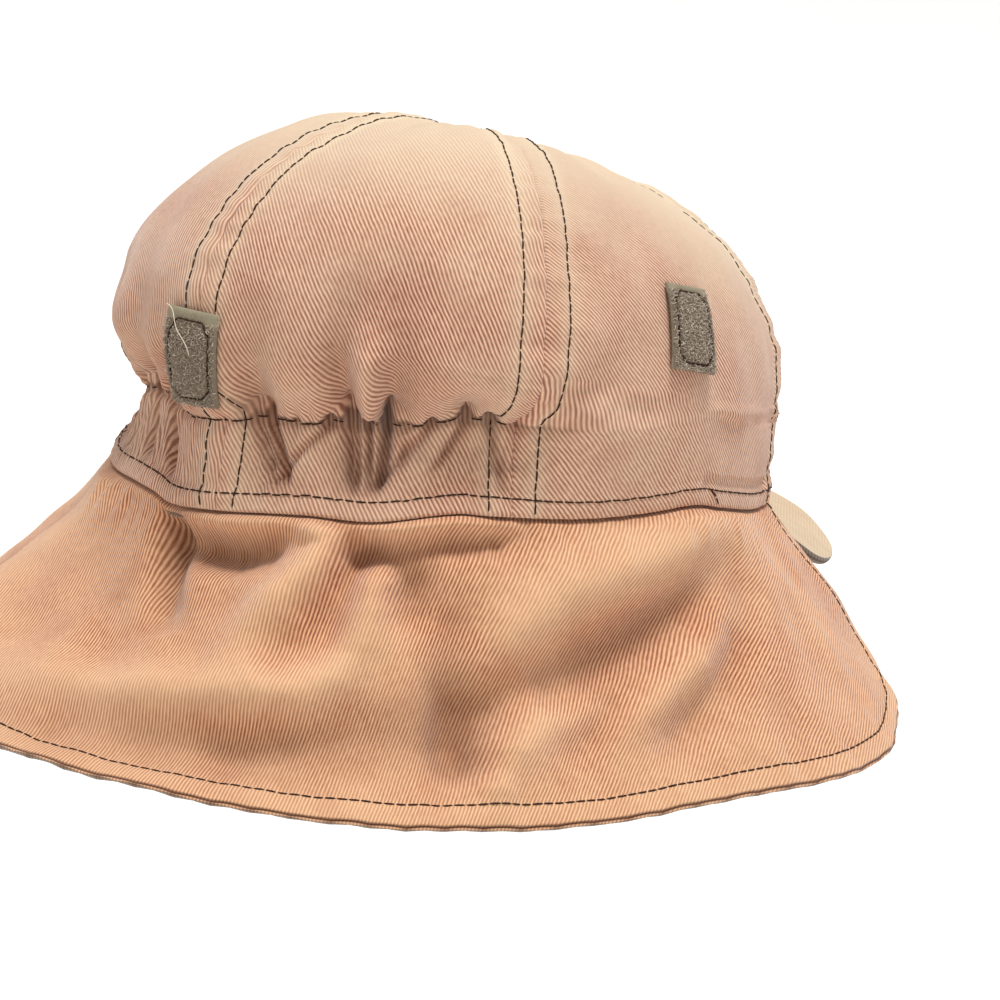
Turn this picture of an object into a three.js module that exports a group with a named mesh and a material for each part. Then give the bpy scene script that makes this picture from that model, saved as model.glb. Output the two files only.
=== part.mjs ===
// A legionnaire cap: a cloth crown of six panels drawn in by an elastic casing at the back, a curved
// peak, a neck flap that hangs from temple to temple, and three patches of loop tape sewn to the crown.
//
// Millimetres. The origin is the centre of the head opening and z = 0 is near its rim at the temples.
// +Z points up through the crown, -Y to the front and -X to the wearer's right. Angles are degrees round
// the opening: 0 at the back centre, 90 at the wearer's right, 180 at the front. A surface is a function
// of an angle and a share, which runs from 0 at the rim to 1 at the top, the hem or the peak's edge.

import * as THREE from "three";

// Cloth
const WALL = 1.5; // doubled cotton twill
const GAP = 0.3; // clearance between neighbouring pieces
const TUCK = 5; // turned-in edge of the flap and the peak, sewn inside the crown
const TUCK_GAP = 0.6; // clearance between that edge and the crown, whose facets differ in length

// Crown
const RIM_HALF_LENGTH = 103;
const RIM_HALF_WIDTH = 88.5;
const CROWN_HEIGHT = 102;
const CASING_HEIGHT = 23; // the elastic's channel at the back
const RIM_STRIP = 4.5; // folded lower edge, below its stitching
const TIP_RADIUS = 1.2; // where the six panels meet
const BULGE = 7.5; // how far the crown swells past the rim
const PINCH = 7; // how far the elastic draws the casing in
const RIM_WAVE = 7.5; // how far the rim hangs down at the back
const SLUMP = 6; // depth of the soft dents in the top
const GATHER_DEPTH = 4.5;
const GATHER_WIDTH = 2.6;
const CREASE_DEPTH = 5;
const CREASE_WIDTH = 7;

// Flap
const FLAP_END = 126; // degrees from the back centre to its front edges
const FLAP_REACH = 66; // furthest that its hem stands out past the rim
const FLAP_DROP = 76.5; // furthest that its hem hangs below the rim
const FLAP_CORNER = 20; // degrees taken up by each rounded lower corner
const CORNER_RISE = 26;
const FOLD_HEIGHT = 8;
const FOLD_WIDTH = 12;

// Peak
const PEAK_END = 51; // degrees from the front centre to its ends
const PEAK_REACH = 66;
const PEAK_WALL = 3; // cloth on both sides of a stiff board
const PEAK_OVERHANG = 6; // how far its ends stand out past the rim
const PEAK_SLOPE = 0.19; // fall for each millimetre forward, at the middle
const PEAK_ARCH = 0.72; // what its ends add to that slope
const PEAK_ARCH_POWER = 2.5;

// Loop-tape patches
const PATCH_WIDTH = 17.5;
const PATCH_HEIGHT = 22.5;
const PATCH_WALL = 1.6;
const PATCH_GAP = 0.5; // stiff tape bridges the small hollows of the cloth under it

// The shares at which the crown's spans end: the casing, then the puff up to the widest place.
const CASING_TOP = 0.16;
const WIDEST = 0.34;
const CROWN_LENGTH = CASING_HEIGHT / CASING_TOP; // of its cloth, from the rim to the top

// How soon relief and steps set in, as shares: of the casing's height, of the crown's length above the
// casing, of what is left above the widest place, and of the flap's length below the rim.
const GATHER_FADE = 0.3;
const CREASE_FADE = 0.02;
const FOOT_RUN = 0.08;
const SLUMP_FADE = 0.5;
const FOLD_FADE = 0.05;

const table = (columns, rows) =>
  rows.map((row) => Object.fromEntries(columns.map((name, i) => [name, row[i]])));

// Crown sections. rise is a share of RIM_WAVE, tall of CASING_HEIGHT, bulge of BULGE and widest of
// CROWN_HEIGHT. drawn is 1 where the elastic draws the casing in by PINCH and 0 where there is none.
// roundness is the dome's power: 2 is an ellipse, more is squarer and less is flatter.
const CROWN_SECTIONS = table(
  ["angle", "rise", "drawn", "tall", "bulge", "widest", "roundness"],
  [
    [-180, 0.0, 0, 1.0, 0.3, 0.32, 1.95],
    [-120, 0.15, 0, 1.0, 0.1, 0.3, 1.95],
    [-90, 0.4, 0, 0.9, 0.2, 0.31, 1.95],
    [-70, 0.3, 0.6, 0.75, 0.3, 0.33, 1.95],
    [-50, 0.0, 1, 0.75, 0.4, 0.34, 2.0],
    [-28, -0.75, 1, 1.0, 0.6, 0.36, 2.1],
    [-9, -1.0, 0.8, 1.0, 0.75, 0.36, 2.15],
    [2, -1.0, 0.35, 1.0, 0.75, 0.36, 2.15],
    [11, -0.95, 0.8, 1.0, 0.8, 0.36, 2.15],
    [28, -0.75, 1, 1.0, 0.85, 0.36, 2.2],
    [50, -0.15, 0.8, 1.0, 0.75, 0.34, 2.15],
    [65, 0.1, 0, 1.0, 0.6, 0.33, 2.1],
    [90, 0.4, 0, 1.0, 0.2, 0.3, 2.05],
    [120, 0.15, 0, 1.0, 0.0, 0.28, 2.0],
    [180, 0.0, 0, 1.0, 0.3, 0.32, 1.95],
  ],
);

// Soft dents and humps of the top, seen from above. across and radius are shares of RIM_HALF_WIDTH, along
// of RIM_HALF_LENGTH and height of SLUMP.
const TOP_SLUMPS = table(
  ["across", "along", "radius", "height"],
  [
    [0.09, 0.02, 0.38, -1.0],
    [-0.25, -0.2, 0.43, -1.0],
    [0.3, 0.3, 0.34, 0.6],
  ],
);

// Seams of the crown, where its panels meet. foot is how many degrees a seam stands off its upper line
// inside the casing.
const SEAMS = table(
  ["angle", "foot"],
  [
    [-180, 0],
    [-120, 0],
    [-54, 1.6],
    [0, 4.2],
    [54, -1.6],
    [120, 0],
    [180, 0],
  ],
);

// Gathers of the casing, ridges where depth is negative. lean is how many degrees a gather's foot stands
// off its head, rise how far it runs up the puff and fall how far down from the head it reaches, as shares
// of CASING_HEIGHT. depth is a share of GATHER_DEPTH and width of GATHER_WIDTH.
const GATHERS = table(
  ["angle", "lean", "depth", "width", "rise", "fall"],
  [
    [-50, 2, 0.6, 1.3, 0.3, 1.0],
    [-44, 0, 0.8, 1.0, 0.4, 1.0],
    [-38, -2, 0.6, 1.4, 0.3, 1.0],
    [-32, 0, 0.9, 1.0, 0.4, 1.0],
    [-24, 7, 0.9, 0.9, 0.3, 1.0],
    [-15.5, 8.5, 1.2, 0.8, 0.3, 1.0],
    [9, 7.5, 0.6, 0.5, 0.2, 1.0],
    [11, 8, 1.0, 0.6, 0.2, 1.0],
    [18.5, 0, -0.4, 1.8, 0.1, 1.0],
    [21.5, -12, 0.5, 0.7, 0.1, 0.6],
    [24.5, 3.5, 0.9, 0.5, 0.3, 1.0],
    [26.2, 2.5, 0.9, 0.5, 0.2, 1.0],
    [28.5, 2, 0.8, 0.5, 0.2, 1.0],
    [31.7, -0.5, 1.3, 0.7, 0.3, 1.0],
    [39, -14, 0.5, 0.8, 0.1, 0.5],
    [39, -3, -0.4, 2.0, 0.1, 1.0],
    [44.5, -9, 0.6, 0.6, 0.2, 0.3],
    [48.5, 3.5, 0.7, 0.6, 0.2, 1.0],
  ],
);

// Creases of the crown above the casing. The rows of one crease are places along its line, valleys where
// depth is positive. depth is a share of CREASE_DEPTH and width of CREASE_WIDTH.
const CREASES = table(
  ["line", "angle", "share", "depth", "width"],
  [
    ["middle", 24.8, 0.17, 1.0, 0.6],
    ["middle", 24.4, 0.26, 1.0, 0.7],
    ["middle", 23.9, 0.33, 0.9, 0.8],
    ["middle", 25, 0.38, 0.6, 1.0],
    ["middle", 29.5, 0.42, 0.3, 1.2],
    ["middle", 36, 0.5, 0.0, 1.5],
    ["right", 33, 0.17, 1.0, 0.6],
    ["right", 32.8, 0.24, 0.9, 0.7],
    ["right", 33.2, 0.31, 0.7, 0.8],
    ["right", 33.5, 0.39, 0.3, 1.0],
    ["right", 36, 0.48, 0.0, 1.4],
    ["between", 28.7, 0.2, -0.4, 0.5],
    ["between", 28.3, 0.3, -0.5, 0.6],
    ["between", 29.5, 0.37, 0.0, 0.9],
    ["by the patch", 9.4, 0.17, 1.0, 0.7],
    ["by the patch", 9.2, 0.24, 0.9, 0.8],
    ["by the patch", 9.2, 0.31, 0.5, 0.9],
    ["by the patch", 11, 0.42, 0.0, 1.3],
    ["far right", 44.5, 0.17, 0.5, 0.6],
    ["far right", 44, 0.24, 0.2, 0.8],
    ["far right", 44, 0.32, 0.0, 1.0],
    ["near left", -25, 0.17, 0.8, 0.8],
    ["near left", -21, 0.23, 0.7, 0.9],
    ["near left", -18.5, 0.37, 0.4, 1.1],
    ["near left", -17, 0.48, 0.0, 1.4],
    ["left of the patch", -14.5, 0.17, 0.8, 0.6],
    ["left of the patch", -10.8, 0.27, 0.5, 0.7],
    ["left of the patch", -11.5, 0.42, 0.0, 1.0],
    ["left", -33, 0.17, 0.8, 0.9],
    ["left", -34, 0.32, 0.6, 1.0],
    ["left", -37, 0.46, 0.0, 1.4],
    ["far left", -44, 0.17, 0.6, 0.9],
    ["far left", -45, 0.36, 0.0, 1.2],
  ],
);

// Flap sections. reach and kneeOut are shares of FLAP_REACH, drop and kneeDown of FLAP_DROP. The knee is
// where the flap stops hanging and starts to stand out.
const FLAP_SECTIONS = table(
  ["angle", "reach", "drop", "kneeOut", "kneeDown"],
  [
    [-126, 0.64, 0.78, 0.27, 0.35],
    [-100, 0.72, 0.86, 0.3, 0.45],
    [-75, 0.88, 0.82, 0.31, 0.45],
    [-55, 0.97, 0.77, 0.27, 0.42],
    [-30, 0.94, 0.82, 0.19, 0.5],
    [-10, 0.77, 0.87, 0.17, 0.56],
    [20, 0.56, 0.96, 0.18, 0.53],
    [40, 0.46, 0.99, 0.15, 0.53],
    [60, 0.47, 0.96, 0.15, 0.53],
    [80, 0.54, 0.88, 0.18, 0.48],
    [100, 0.67, 0.835, 0.28, 0.43],
    [126, 0.71, 0.75, 0.36, 0.35],
  ],
);

// Folds of the flap. The rows of one fold are places along its line, ridges where height is positive.
// height is a share of FOLD_HEIGHT and width of FOLD_WIDTH.
const FLAP_FOLDS = table(
  ["line", "angle", "share", "height", "width"],
  [
    ["seam pleat", -6, 0.03, -0.6, 0.35],
    ["seam pleat", -3.2, 0.17, -0.75, 0.35],
    ["seam pleat", 0.8, 0.34, -0.5, 0.4],
    ["seam pleat", 3.2, 0.46, 0.0, 0.6],
    ["left roll", -2, 0.035, 0.3, 0.35],
    ["left roll", 7, 0.03, 0.4, 0.35],
    ["left roll", 16, 0.02, 0.3, 0.3],
    ["hollow", -2.5, 0.08, -0.5, 0.45],
    ["hollow", 3, 0.11, -0.75, 0.5],
    ["hollow", 10, 0.125, -0.75, 0.5],
    ["hollow", 15, 0.11, -0.6, 0.45],
    ["hollow", 18, 0.05, -0.2, 0.4],
    ["rib", 20, 0.01, 0.3, 0.4],
    ["rib", 25.8, 0.09, 0.6, 0.45],
    ["rib", 23, 0.195, 0.7, 0.5],
    ["rib", 20, 0.285, 0.65, 0.55],
    ["rib", 17.8, 0.395, 0.5, 0.6],
    ["rib", 16.5, 0.49, 0.35, 0.7],
    ["rib", 16.2, 0.6, 0.0, 0.9],
    ["beside the rib", 29, 0.13, -0.5, 0.45],
    ["beside the rib", 29, 0.27, -0.7, 0.5],
    ["beside the rib", 27.6, 0.41, -0.65, 0.55],
    ["beside the rib", 24, 0.51, -0.45, 0.6],
    ["beside the rib", 19, 0.57, -0.1, 0.6],
    ["shelf", 36, 0.14, 0.4, 0.5],
    ["shelf", 32.3, 0.21, 0.65, 0.5],
    ["shelf", 31.3, 0.3, 0.8, 0.6],
    ["shelf", 30.3, 0.4, 0.8, 0.65],
    ["shelf", 27.6, 0.51, 0.8, 0.7],
    ["shelf", 23.8, 0.59, 0.75, 0.75],
    ["shelf", 17.8, 0.635, 0.7, 0.8],
    ["shelf", 6, 0.685, 0.6, 0.8],
    ["shelf", -8, 0.75, 0.45, 0.9],
    ["shelf", -22, 0.82, 0.2, 1.0],
    ["under the shelf", -10, 0.89, -0.35, 0.9],
    ["under the shelf", 8, 0.8, -0.5, 0.9],
    ["under the shelf", 20.5, 0.78, -0.5, 0.9],
    ["under the shelf", 32.5, 0.73, -0.45, 0.9],
    ["under the shelf", 42, 0.71, -0.3, 0.9],
    ["pocket", 29, 0.075, -0.4, 0.4],
    ["pocket", 32.2, 0.09, -0.7, 0.45],
    ["pocket", 35.2, 0.11, -0.8, 0.45],
    ["pocket", 37.8, 0.19, -0.7, 0.45],
    ["pocket", 38, 0.285, -0.4, 0.5],
    ["pocket", 37.8, 0.37, 0.0, 0.7],
    ["roll", 31, 0.02, 0.3, 0.3],
    ["roll", 38.5, 0.015, 0.6, 0.35],
    ["roll", 46, 0.015, 0.6, 0.35],
    ["roll", 52, 0.015, 0.3, 0.3],
    ["under the roll", 39, 0.075, -0.4, 0.35],
    ["under the roll", 44, 0.07, -0.5, 0.35],
    ["under the roll", 50, 0.065, -0.45, 0.35],
    ["under the roll", 54, 0.04, -0.1, 0.3],
    ["pleat", 46.8, 0.2, 0.0, 0.7],
    ["pleat", 45.6, 0.36, -0.35, 0.6],
    ["pleat", 44.2, 0.55, -0.55, 0.5],
    ["pleat", 44.8, 0.71, -0.6, 0.45],
    ["pleat", 46.5, 0.86, -0.1, 0.5],
    ["low hollow", 49, 0.62, -0.35, 0.6],
    ["low hollow", 48, 0.78, -0.45, 0.5],
    ["low crest", 60, 0.6, 0.2, 0.7],
    ["low crest", 55, 0.655, 0.5, 0.6],
    ["low crest", 52.4, 0.74, 0.6, 0.55],
    ["low crest", 50.5, 0.84, 0.4, 0.5],
    ["low crest", 50, 0.93, 0.1, 0.5],
    ["sweep", 98, 0.07, 0.2, 0.8],
    ["sweep", 85, 0.14, 0.5, 0.9],
    ["sweep", 71, 0.165, 0.6, 0.9],
    ["sweep", 60.5, 0.23, 0.6, 0.9],
    ["sweep", 54.2, 0.34, 0.5, 0.8],
    ["sweep", 50, 0.45, 0.3, 0.8],
    ["under the sweep", 91, 0.2, -0.3, 0.7],
    ["under the sweep", 83, 0.295, -0.55, 0.75],
    ["under the sweep", 75, 0.385, -0.65, 0.75],
    ["under the sweep", 66, 0.45, -0.65, 0.75],
    ["under the sweep", 58, 0.52, -0.6, 0.75],
    ["under the sweep", 51, 0.585, -0.3, 0.7],
    ["low sweep", 89, 0.4, 0.2, 0.7],
    ["low sweep", 80, 0.54, 0.4, 0.7],
    ["low sweep", 71, 0.62, 0.4, 0.7],
    ["low sweep", 65, 0.68, 0.2, 0.7],
    ["thin valley", 74, 0.54, -0.1, 0.4],
    ["thin valley", 67, 0.62, -0.35, 0.4],
    ["thin valley", 63, 0.71, -0.35, 0.4],
    ["thin valley", 59, 0.81, 0.0, 0.5],
    ["right valley", 93.5, 0.32, -0.2, 0.5],
    ["right valley", 89, 0.465, -0.4, 0.5],
    ["right valley", 83, 0.605, -0.45, 0.5],
    ["right valley", 75, 0.75, -0.35, 0.55],
    ["right valley", 69, 0.85, 0.0, 0.6],
    ["left ridge", -30, 0.1, 0.3, 1.1],
    ["left ridge", -36, 0.6, 0.5, 1.3],
    ["left valley", -48, 0.1, -0.3, 1.1],
    ["left valley", -53, 0.8, -0.5, 1.4],
    ["left swell", -66, 0.1, 0.3, 1.1],
    ["left swell", -72, 0.9, 0.6, 1.6],
    ["left hollow", -86, 0.15, -0.3, 1.2],
    ["left hollow", -89, 0.8, -0.5, 1.5],
    ["left front", -106, 0.2, 0.2, 1.2],
    ["left front", -108, 0.8, 0.4, 1.4],
  ],
);

const radians = THREE.MathUtils.degToRad;
const clamp = THREE.MathUtils.clamp;
const quarter = (x) => Math.sin((clamp(x, 0, 1) * Math.PI) / 2);
const ease = (x) => THREE.MathUtils.smoothstep(x, 0, 1);
const hump = (x) => Math.exp(-x * x);

// A smooth curve through one column of a table, over the angle, level at both ends.
function bend(rows, column, angle) {
  const last = rows.length - 1;
  let i = 0;
  while (i < last - 1 && rows[i + 1].angle <= angle) i++;
  const slope = (k) =>
    k === 0 || k === last
      ? 0
      : (rows[k + 1][column] - rows[k - 1][column]) / (rows[k + 1].angle - rows[k - 1].angle);
  const span = rows[i + 1].angle - rows[i].angle;
  const x = (angle - rows[i].angle) / span;
  const toNext = x * x * (3 - 2 * x);
  return (
    rows[i][column] * (1 - toNext) +
    rows[i + 1][column] * toNext +
    x * (1 - x) * (1 - x) * span * slope(i) -
    x * x * (1 - x) * span * slope(i + 1)
  );
}

// A place on an ellipse that lies grow outside the rim.
function ringPoint(angle, grow, z) {
  const turn = radians(angle);
  return new THREE.Vector3(
    -(RIM_HALF_WIDTH + grow) * Math.sin(turn),
    (RIM_HALF_LENGTH + grow) * Math.cos(turn),
    z,
  );
}

const rimHeight = (angle) => RIM_WAVE * bend(CROWN_SECTIONS, "rise", angle);

// The length of one degree of the rim.
const DEGREE = (Math.PI / 180) * Math.sqrt((RIM_HALF_LENGTH ** 2 + RIM_HALF_WIDTH ** 2) / 2);

// The unit normal of a surface whose shares run up, outward; where they run down it points inward.
function normalOf(surface, angle, share) {
  const step = 0.002;
  const across = surface(angle + 1, share).sub(surface(angle - 1, share));
  const up = surface(angle, share + step).sub(surface(angle, share - step));
  return across.cross(up).normalize();
}

// The relief of the folds drawn by the rows of a table: each fades to its sides over width, and between
// two rows its height and width change evenly. Where rows of one fold compete, the strongest counts. Both
// directions are measured in millimetres, with length as the length of the whole share.
function foldRelief(rows, column, angle, share, length, widest) {
  const strongest = new Map();
  for (let i = 0; i < rows.length - 1; i++) {
    const from = rows[i];
    const to = rows[i + 1];
    if (from.line !== to.line) continue;
    const run = (to.angle - from.angle) * DEGREE;
    const rise = (to.share - from.share) * length;
    const x = (angle - from.angle) * DEGREE;
    const y = (share - from.share) * length;
    const part = clamp((x * run + y * rise) / (run * run + rise * rise), 0, 1);
    const off = Math.hypot(x - part * run, y - part * rise);
    const width = widest * THREE.MathUtils.lerp(from.width, to.width, part);
    const height = THREE.MathUtils.lerp(from[column], to[column], part) * hump(off / width);
    const sofar = strongest.get(from.line) ?? 0;
    if (Math.abs(height) > Math.abs(sofar)) strongest.set(from.line, height);
  }
  return [...strongest.values()].reduce((sum, height) => sum + height, 0);
}

// Crown

// The dome without its creases: an ellipse that is drawn in at the casing, swells to its widest place and
// closes over as a rounded dome.
function crownForm(angle, share) {
  const section = (column) => bend(CROWN_SECTIONS, column, angle);
  const rim = rimHeight(angle);
  const casing = CASING_HEIGHT * section("tall");
  const widest = CROWN_HEIGHT * section("widest");
  const inCasing = clamp(share / CASING_TOP, -1, 1);
  const inPuff = clamp((share - CASING_TOP) / (WIDEST - CASING_TOP), 0, 1);
  const over = (clamp((share - WIDEST) / (1 - WIDEST), 0, 1) * Math.PI) / 2;
  const bulge = BULGE * section("bulge");
  const drawn = clamp(section("drawn"), 0, 1);
  const power = 2 / section("roundness");
  const tip = TIP_RADIUS / RIM_HALF_LENGTH;
  const inward = tip + (1 - tip) * Math.cos(over) ** power;
  const waist = -PINCH * Math.sin((inCasing * Math.PI) / 2);
  const gathered = waist + (bulge + PINCH) * quarter(inPuff);
  const plain = bulge * Math.sin((Math.min(share / WIDEST, 1) * Math.PI) / 2);
  const grow = THREE.MathUtils.lerp(plain, gathered, drawn);
  const point = ringPoint(angle, grow, 0);
  point.x *= inward;
  point.y *= inward;
  point.z = rim + casing * inCasing + (widest - rim - casing) * inPuff;
  point.z += (CROWN_HEIGHT - widest) * Math.sin(over) ** power;
  const onTop = ease((share - WIDEST) / (1 - WIDEST) / SLUMP_FADE);
  for (const slump of TOP_SLUMPS) {
    const x = point.x - slump.across * RIM_HALF_WIDTH;
    const y = point.y - slump.along * RIM_HALF_LENGTH;
    const radius = slump.radius * RIM_HALF_WIDTH;
    point.z += SLUMP * slump.height * hump(Math.hypot(x, y) / radius) * onTop;
  }
  return point;
}

// The depth of the gathers and creases at a place, outward positive. The folded strip at the rim stays
// smooth.
function crownRelief(angle, share) {
  const height = (share / CASING_TOP) * CASING_HEIGHT;
  const aboveStrip = ease((height - RIM_STRIP) / RIM_STRIP);
  let relief = 0;
  for (const gather of GATHERS) {
    const down = 1 - height / CASING_HEIGHT;
    const line = gather.angle + gather.lean * Math.max(down, 0);
    const off = ((angle - line) * DEGREE) / (gather.width * GATHER_WIDTH);
    const kept = (1 - ease(-down / gather.rise)) * (1 - ease((down - gather.fall) / GATHER_FADE));
    relief -= gather.depth * GATHER_DEPTH * hump(off) * aboveStrip * kept;
  }
  const aboveCasing = ease((share - CASING_TOP) / CREASE_FADE);
  const creases = foldRelief(CREASES, "depth", angle, share, CROWN_LENGTH, CREASE_WIDTH);
  relief -= CREASE_DEPTH * creases * aboveCasing;
  return relief;
}

// The angle of a seam at a share: it steps aside above the casing, by its foot.
const seamLine = (seam, share) => seam.angle + seam.foot * (1 - ease((share - CASING_TOP) / FOOT_RUN));

// A place in the crown's wall: depth is measured inward from its outer face.
function crownPoint(angle, share, depth) {
  const out = crownRelief(angle, share) - depth;
  return crownForm(angle, share).addScaledVector(normalOf(crownForm, angle, share), out);
}

// Flap

// How far down its cloth reaches at an angle: less at the rounded corners.
function flapShare(angle) {
  const x = clamp((Math.abs(angle) - (FLAP_END - FLAP_CORNER)) / FLAP_CORNER, 0, 1);
  return 1 - (CORNER_RISE / FLAP_DROP) * (1 - Math.sqrt(1 - x * x));
}

// The flap without its folds: a curve from under the rim, through the pull of its knee, out to the hem.
// Just below the rim it comes out level with the crown's outer face.
function flapForm(angle, share) {
  const section = (column) => bend(FLAP_SECTIONS, column, angle);
  const t = share * flapShare(angle);
  const toKnee = 2 * t * (1 - t);
  const toHem = t * t;
  const level = (WALL + TUCK_GAP) * ease(t / FOLD_FADE);
  const out = FLAP_REACH * (section("kneeOut") * toKnee + section("reach") * toHem) + level;
  const down = FLAP_DROP * (section("kneeDown") * toKnee + section("drop") * toHem);
  const turn = radians(angle);
  const point = ringPoint(angle, -(WALL + TUCK_GAP), (rimHeight(angle) - GAP) * (1 - t) - down);
  point.x -= Math.sin(turn) * out;
  point.y += Math.cos(turn) * out;
  return point;
}

function flapRelief(angle, share) {
  const length = Math.hypot(FLAP_REACH / 2, FLAP_DROP);
  const belowRim = ease(share / FOLD_FADE);
  return FOLD_HEIGHT * belowRim * foldRelief(FLAP_FOLDS, "height", angle, share, length, FOLD_WIDTH);
}

// A negative share is the turned-in edge that lies against the crown's inner face.
function flapPoint(angle, share, depth) {
  if (share < 0) return tuckPoint(angle, -share, depth);
  const out = flapRelief(angle, share) - depth;
  return flapForm(angle, share).addScaledVector(normalOf(flapForm, angle, share).negate(), out);
}

function tuckPoint(angle, up, depth) {
  return crownPoint(angle, (up * TUCK * CASING_TOP) / CASING_HEIGHT, WALL + TUCK_GAP + depth);
}

// Peak

// across runs from -1 to 1 between its ends, and share from the rim to its edge, half an ellipse.
function peakForm(across, share) {
  const root = ringPoint(180 + PEAK_END * across, -(WALL + TUCK_GAP), 0);
  const end = ringPoint(180 + PEAK_END, 0, 0);
  const turn = (across * Math.PI) / 2;
  const point = new THREE.Vector3(
    (Math.abs(end.x) + PEAK_OVERHANG) * Math.sin(turn),
    end.y - (RIM_HALF_LENGTH + PEAK_REACH + end.y) * Math.cos(turn),
    0,
  );
  point.lerp(root, 1 - share);
  const away = point.distanceTo(root);
  const slope = PEAK_SLOPE + PEAK_ARCH * Math.abs(across) ** PEAK_ARCH_POWER;
  point.z = rimHeight(180 + PEAK_END * across) - GAP - slope * away;
  return point;
}

function peakPoint(across, share, depth) {
  if (share <= 0) return tuckPoint(180 + PEAK_END * across, -share, depth);
  const step = 0.01;
  const side = peakForm(across + step, share).sub(peakForm(across - step, share));
  const ahead = peakForm(across, share + step).sub(peakForm(across, share - step));
  const normal = ahead.cross(side).normalize();
  return peakForm(across, share).addScaledVector(normal, -depth);
}

// Solids

const evenly = (from, to, count) =>
  Array.from({ length: count + 1 }, (_, i) => from + ((to - from) * i) / count);

// A closed wall from the grids of its two faces, both indexed [column][row]. Seen from the front one's
// side, its columns run to the right and its rows up.
function wallGeometry(front, behind) {
  const columns = front.length;
  const rows = front[0].length;
  const positions = [...front.flat(), ...behind.flat()].flatMap((p) => [p.x, p.y, p.z]);
  const at = (i, j, face) => (face * columns + i) * rows + j;
  const indices = [];
  const quad = (a, b, c, d) => indices.push(a, b, c, a, c, d);
  for (let i = 0; i < columns - 1; i++)
    for (let j = 0; j < rows - 1; j++) {
      quad(at(i, j, 0), at(i + 1, j, 0), at(i + 1, j + 1, 0), at(i, j + 1, 0));
      quad(at(i, j, 1), at(i, j + 1, 1), at(i + 1, j + 1, 1), at(i + 1, j, 1));
    }
  const end = columns - 1;
  const top = rows - 1;
  for (let i = 0; i < end; i++) {
    quad(at(i, 0, 0), at(i, 0, 1), at(i + 1, 0, 1), at(i + 1, 0, 0));
    quad(at(i, top, 0), at(i + 1, top, 0), at(i + 1, top, 1), at(i, top, 1));
  }
  for (let j = 0; j < top; j++) {
    quad(at(0, j, 0), at(0, j + 1, 0), at(0, j + 1, 1), at(0, j, 1));
    quad(at(end, j, 0), at(end, j, 1), at(end, j + 1, 1), at(end, j + 1, 0));
  }
  const geometry = new THREE.BufferGeometry();
  geometry.setAttribute("position", new THREE.Float32BufferAttribute(positions, 3));
  geometry.setIndex(indices);
  geometry.computeVertexNormals();
  return geometry;
}

const grid = (columns, rows, point) => columns.map((i) => rows.map((j) => point(i, j)));

const CROWN_ROWS = [
  0,
  CASING_TOP * (RIM_STRIP / CASING_HEIGHT),
  CASING_TOP * 0.45,
  CASING_TOP * 0.75,
  CASING_TOP,
  ...evenly(CASING_TOP, WIDEST, 5).slice(1),
  ...evenly(WIDEST, 1, 6).slice(1),
];

// One panel between two seams. Its edges stand half a gap inside the seams, whatever the local radius.
function panelGeometry(from, to, columns) {
  const point = (depth) => (part, share) => {
    const middle = crownForm((from.angle + to.angle) / 2, share);
    const trim = THREE.MathUtils.radToDeg(GAP / 2 / Math.hypot(middle.x, middle.y));
    const angle = THREE.MathUtils.lerp(seamLine(from, share) + trim, seamLine(to, share) - trim, part);
    return crownPoint(angle, share, depth);
  };
  const parts = evenly(0, 1, columns);
  return wallGeometry(grid(parts, CROWN_ROWS, point(0)), grid(parts, CROWN_ROWS, point(WALL)));
}

function flapGeometry() {
  const straight = FLAP_END - FLAP_CORNER;
  const corner = evenly(0, 1, 6).slice(1).map((x) => straight + FLAP_CORNER * quarter(x));
  const columns = [...corner.map((x) => -x).reverse(), ...evenly(-straight, straight, 52), ...corner];
  const rows = [-1, 0, 0.06, 0.13, 0.22, 0.32, 0.43, 0.55, 0.67, 0.78, 0.89, 1];
  const point = (depth) => (angle, share) => flapPoint(angle, share, depth);
  return wallGeometry(grid(columns, rows, point(WALL)), grid(columns, rows, point(0)));
}

function peakGeometry() {
  const columns = evenly(-1, 1, 20).map((x) => Math.sin((x * Math.PI) / 2));
  const rows = [-1, 0, ...evenly(0, 1, 5).slice(1)];
  const point = (depth) => (across, share) => peakPoint(across, share, depth);
  return wallGeometry(grid(columns, rows, point(PEAK_WALL)), grid(columns, rows, point(0)));
}

// A patch lies on the crown with its centre at an angle and a share, turned by some degrees. Its middle
// is one flat facet.
function patchGeometry({ angle, share, turn }) {
  const step = 0.01;
  const degree = crownForm(angle + 1, share).distanceTo(crownForm(angle - 1, share)) / 2;
  const length = crownForm(angle, share + step).distanceTo(crownForm(angle, share - step)) / (2 * step);
  const place = (depth) => (x, y) => {
    const flat = new THREE.Vector2(x * PATCH_WIDTH, y * PATCH_HEIGHT);
    flat.rotateAround(new THREE.Vector2(), -radians(turn));
    return crownPoint(angle + flat.x / degree, share + flat.y / length, depth);
  };
  const columns = [-0.5, -0.35, -0.2, 0.2, 0.35, 0.5];
  const rows = [-0.5, -0.36, -0.22, -0.07, 0.07, 0.22, 0.36, 0.5];
  const outer = grid(columns, rows, place(-PATCH_GAP - PATCH_WALL));
  const middle = [outer[2][3], outer[2][4], outer[3][3], outer[3][4]];
  const normal = normalOf(crownForm, angle, share);
  const level = middle.reduce((sum, p) => sum + p.dot(normal) / middle.length, 0);
  for (const p of middle) p.addScaledVector(normal, level - p.dot(normal));
  return wallGeometry(outer, grid(columns, rows, place(-PATCH_GAP)));
}

// Assembly

const clothMaterial = (name, color) =>
  new THREE.MeshStandardMaterial({ name, color, roughness: 0.9, metalness: 0 });
const twill = clothMaterial("twill", "#cf9c7c");
const flapTwill = clothMaterial("flap twill", "#d19b73");
const peakTwill = clothMaterial("peak twill", "#dcc7a6");
const loopTape = clothMaterial("loop tape", "#8c7d6c");

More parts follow.
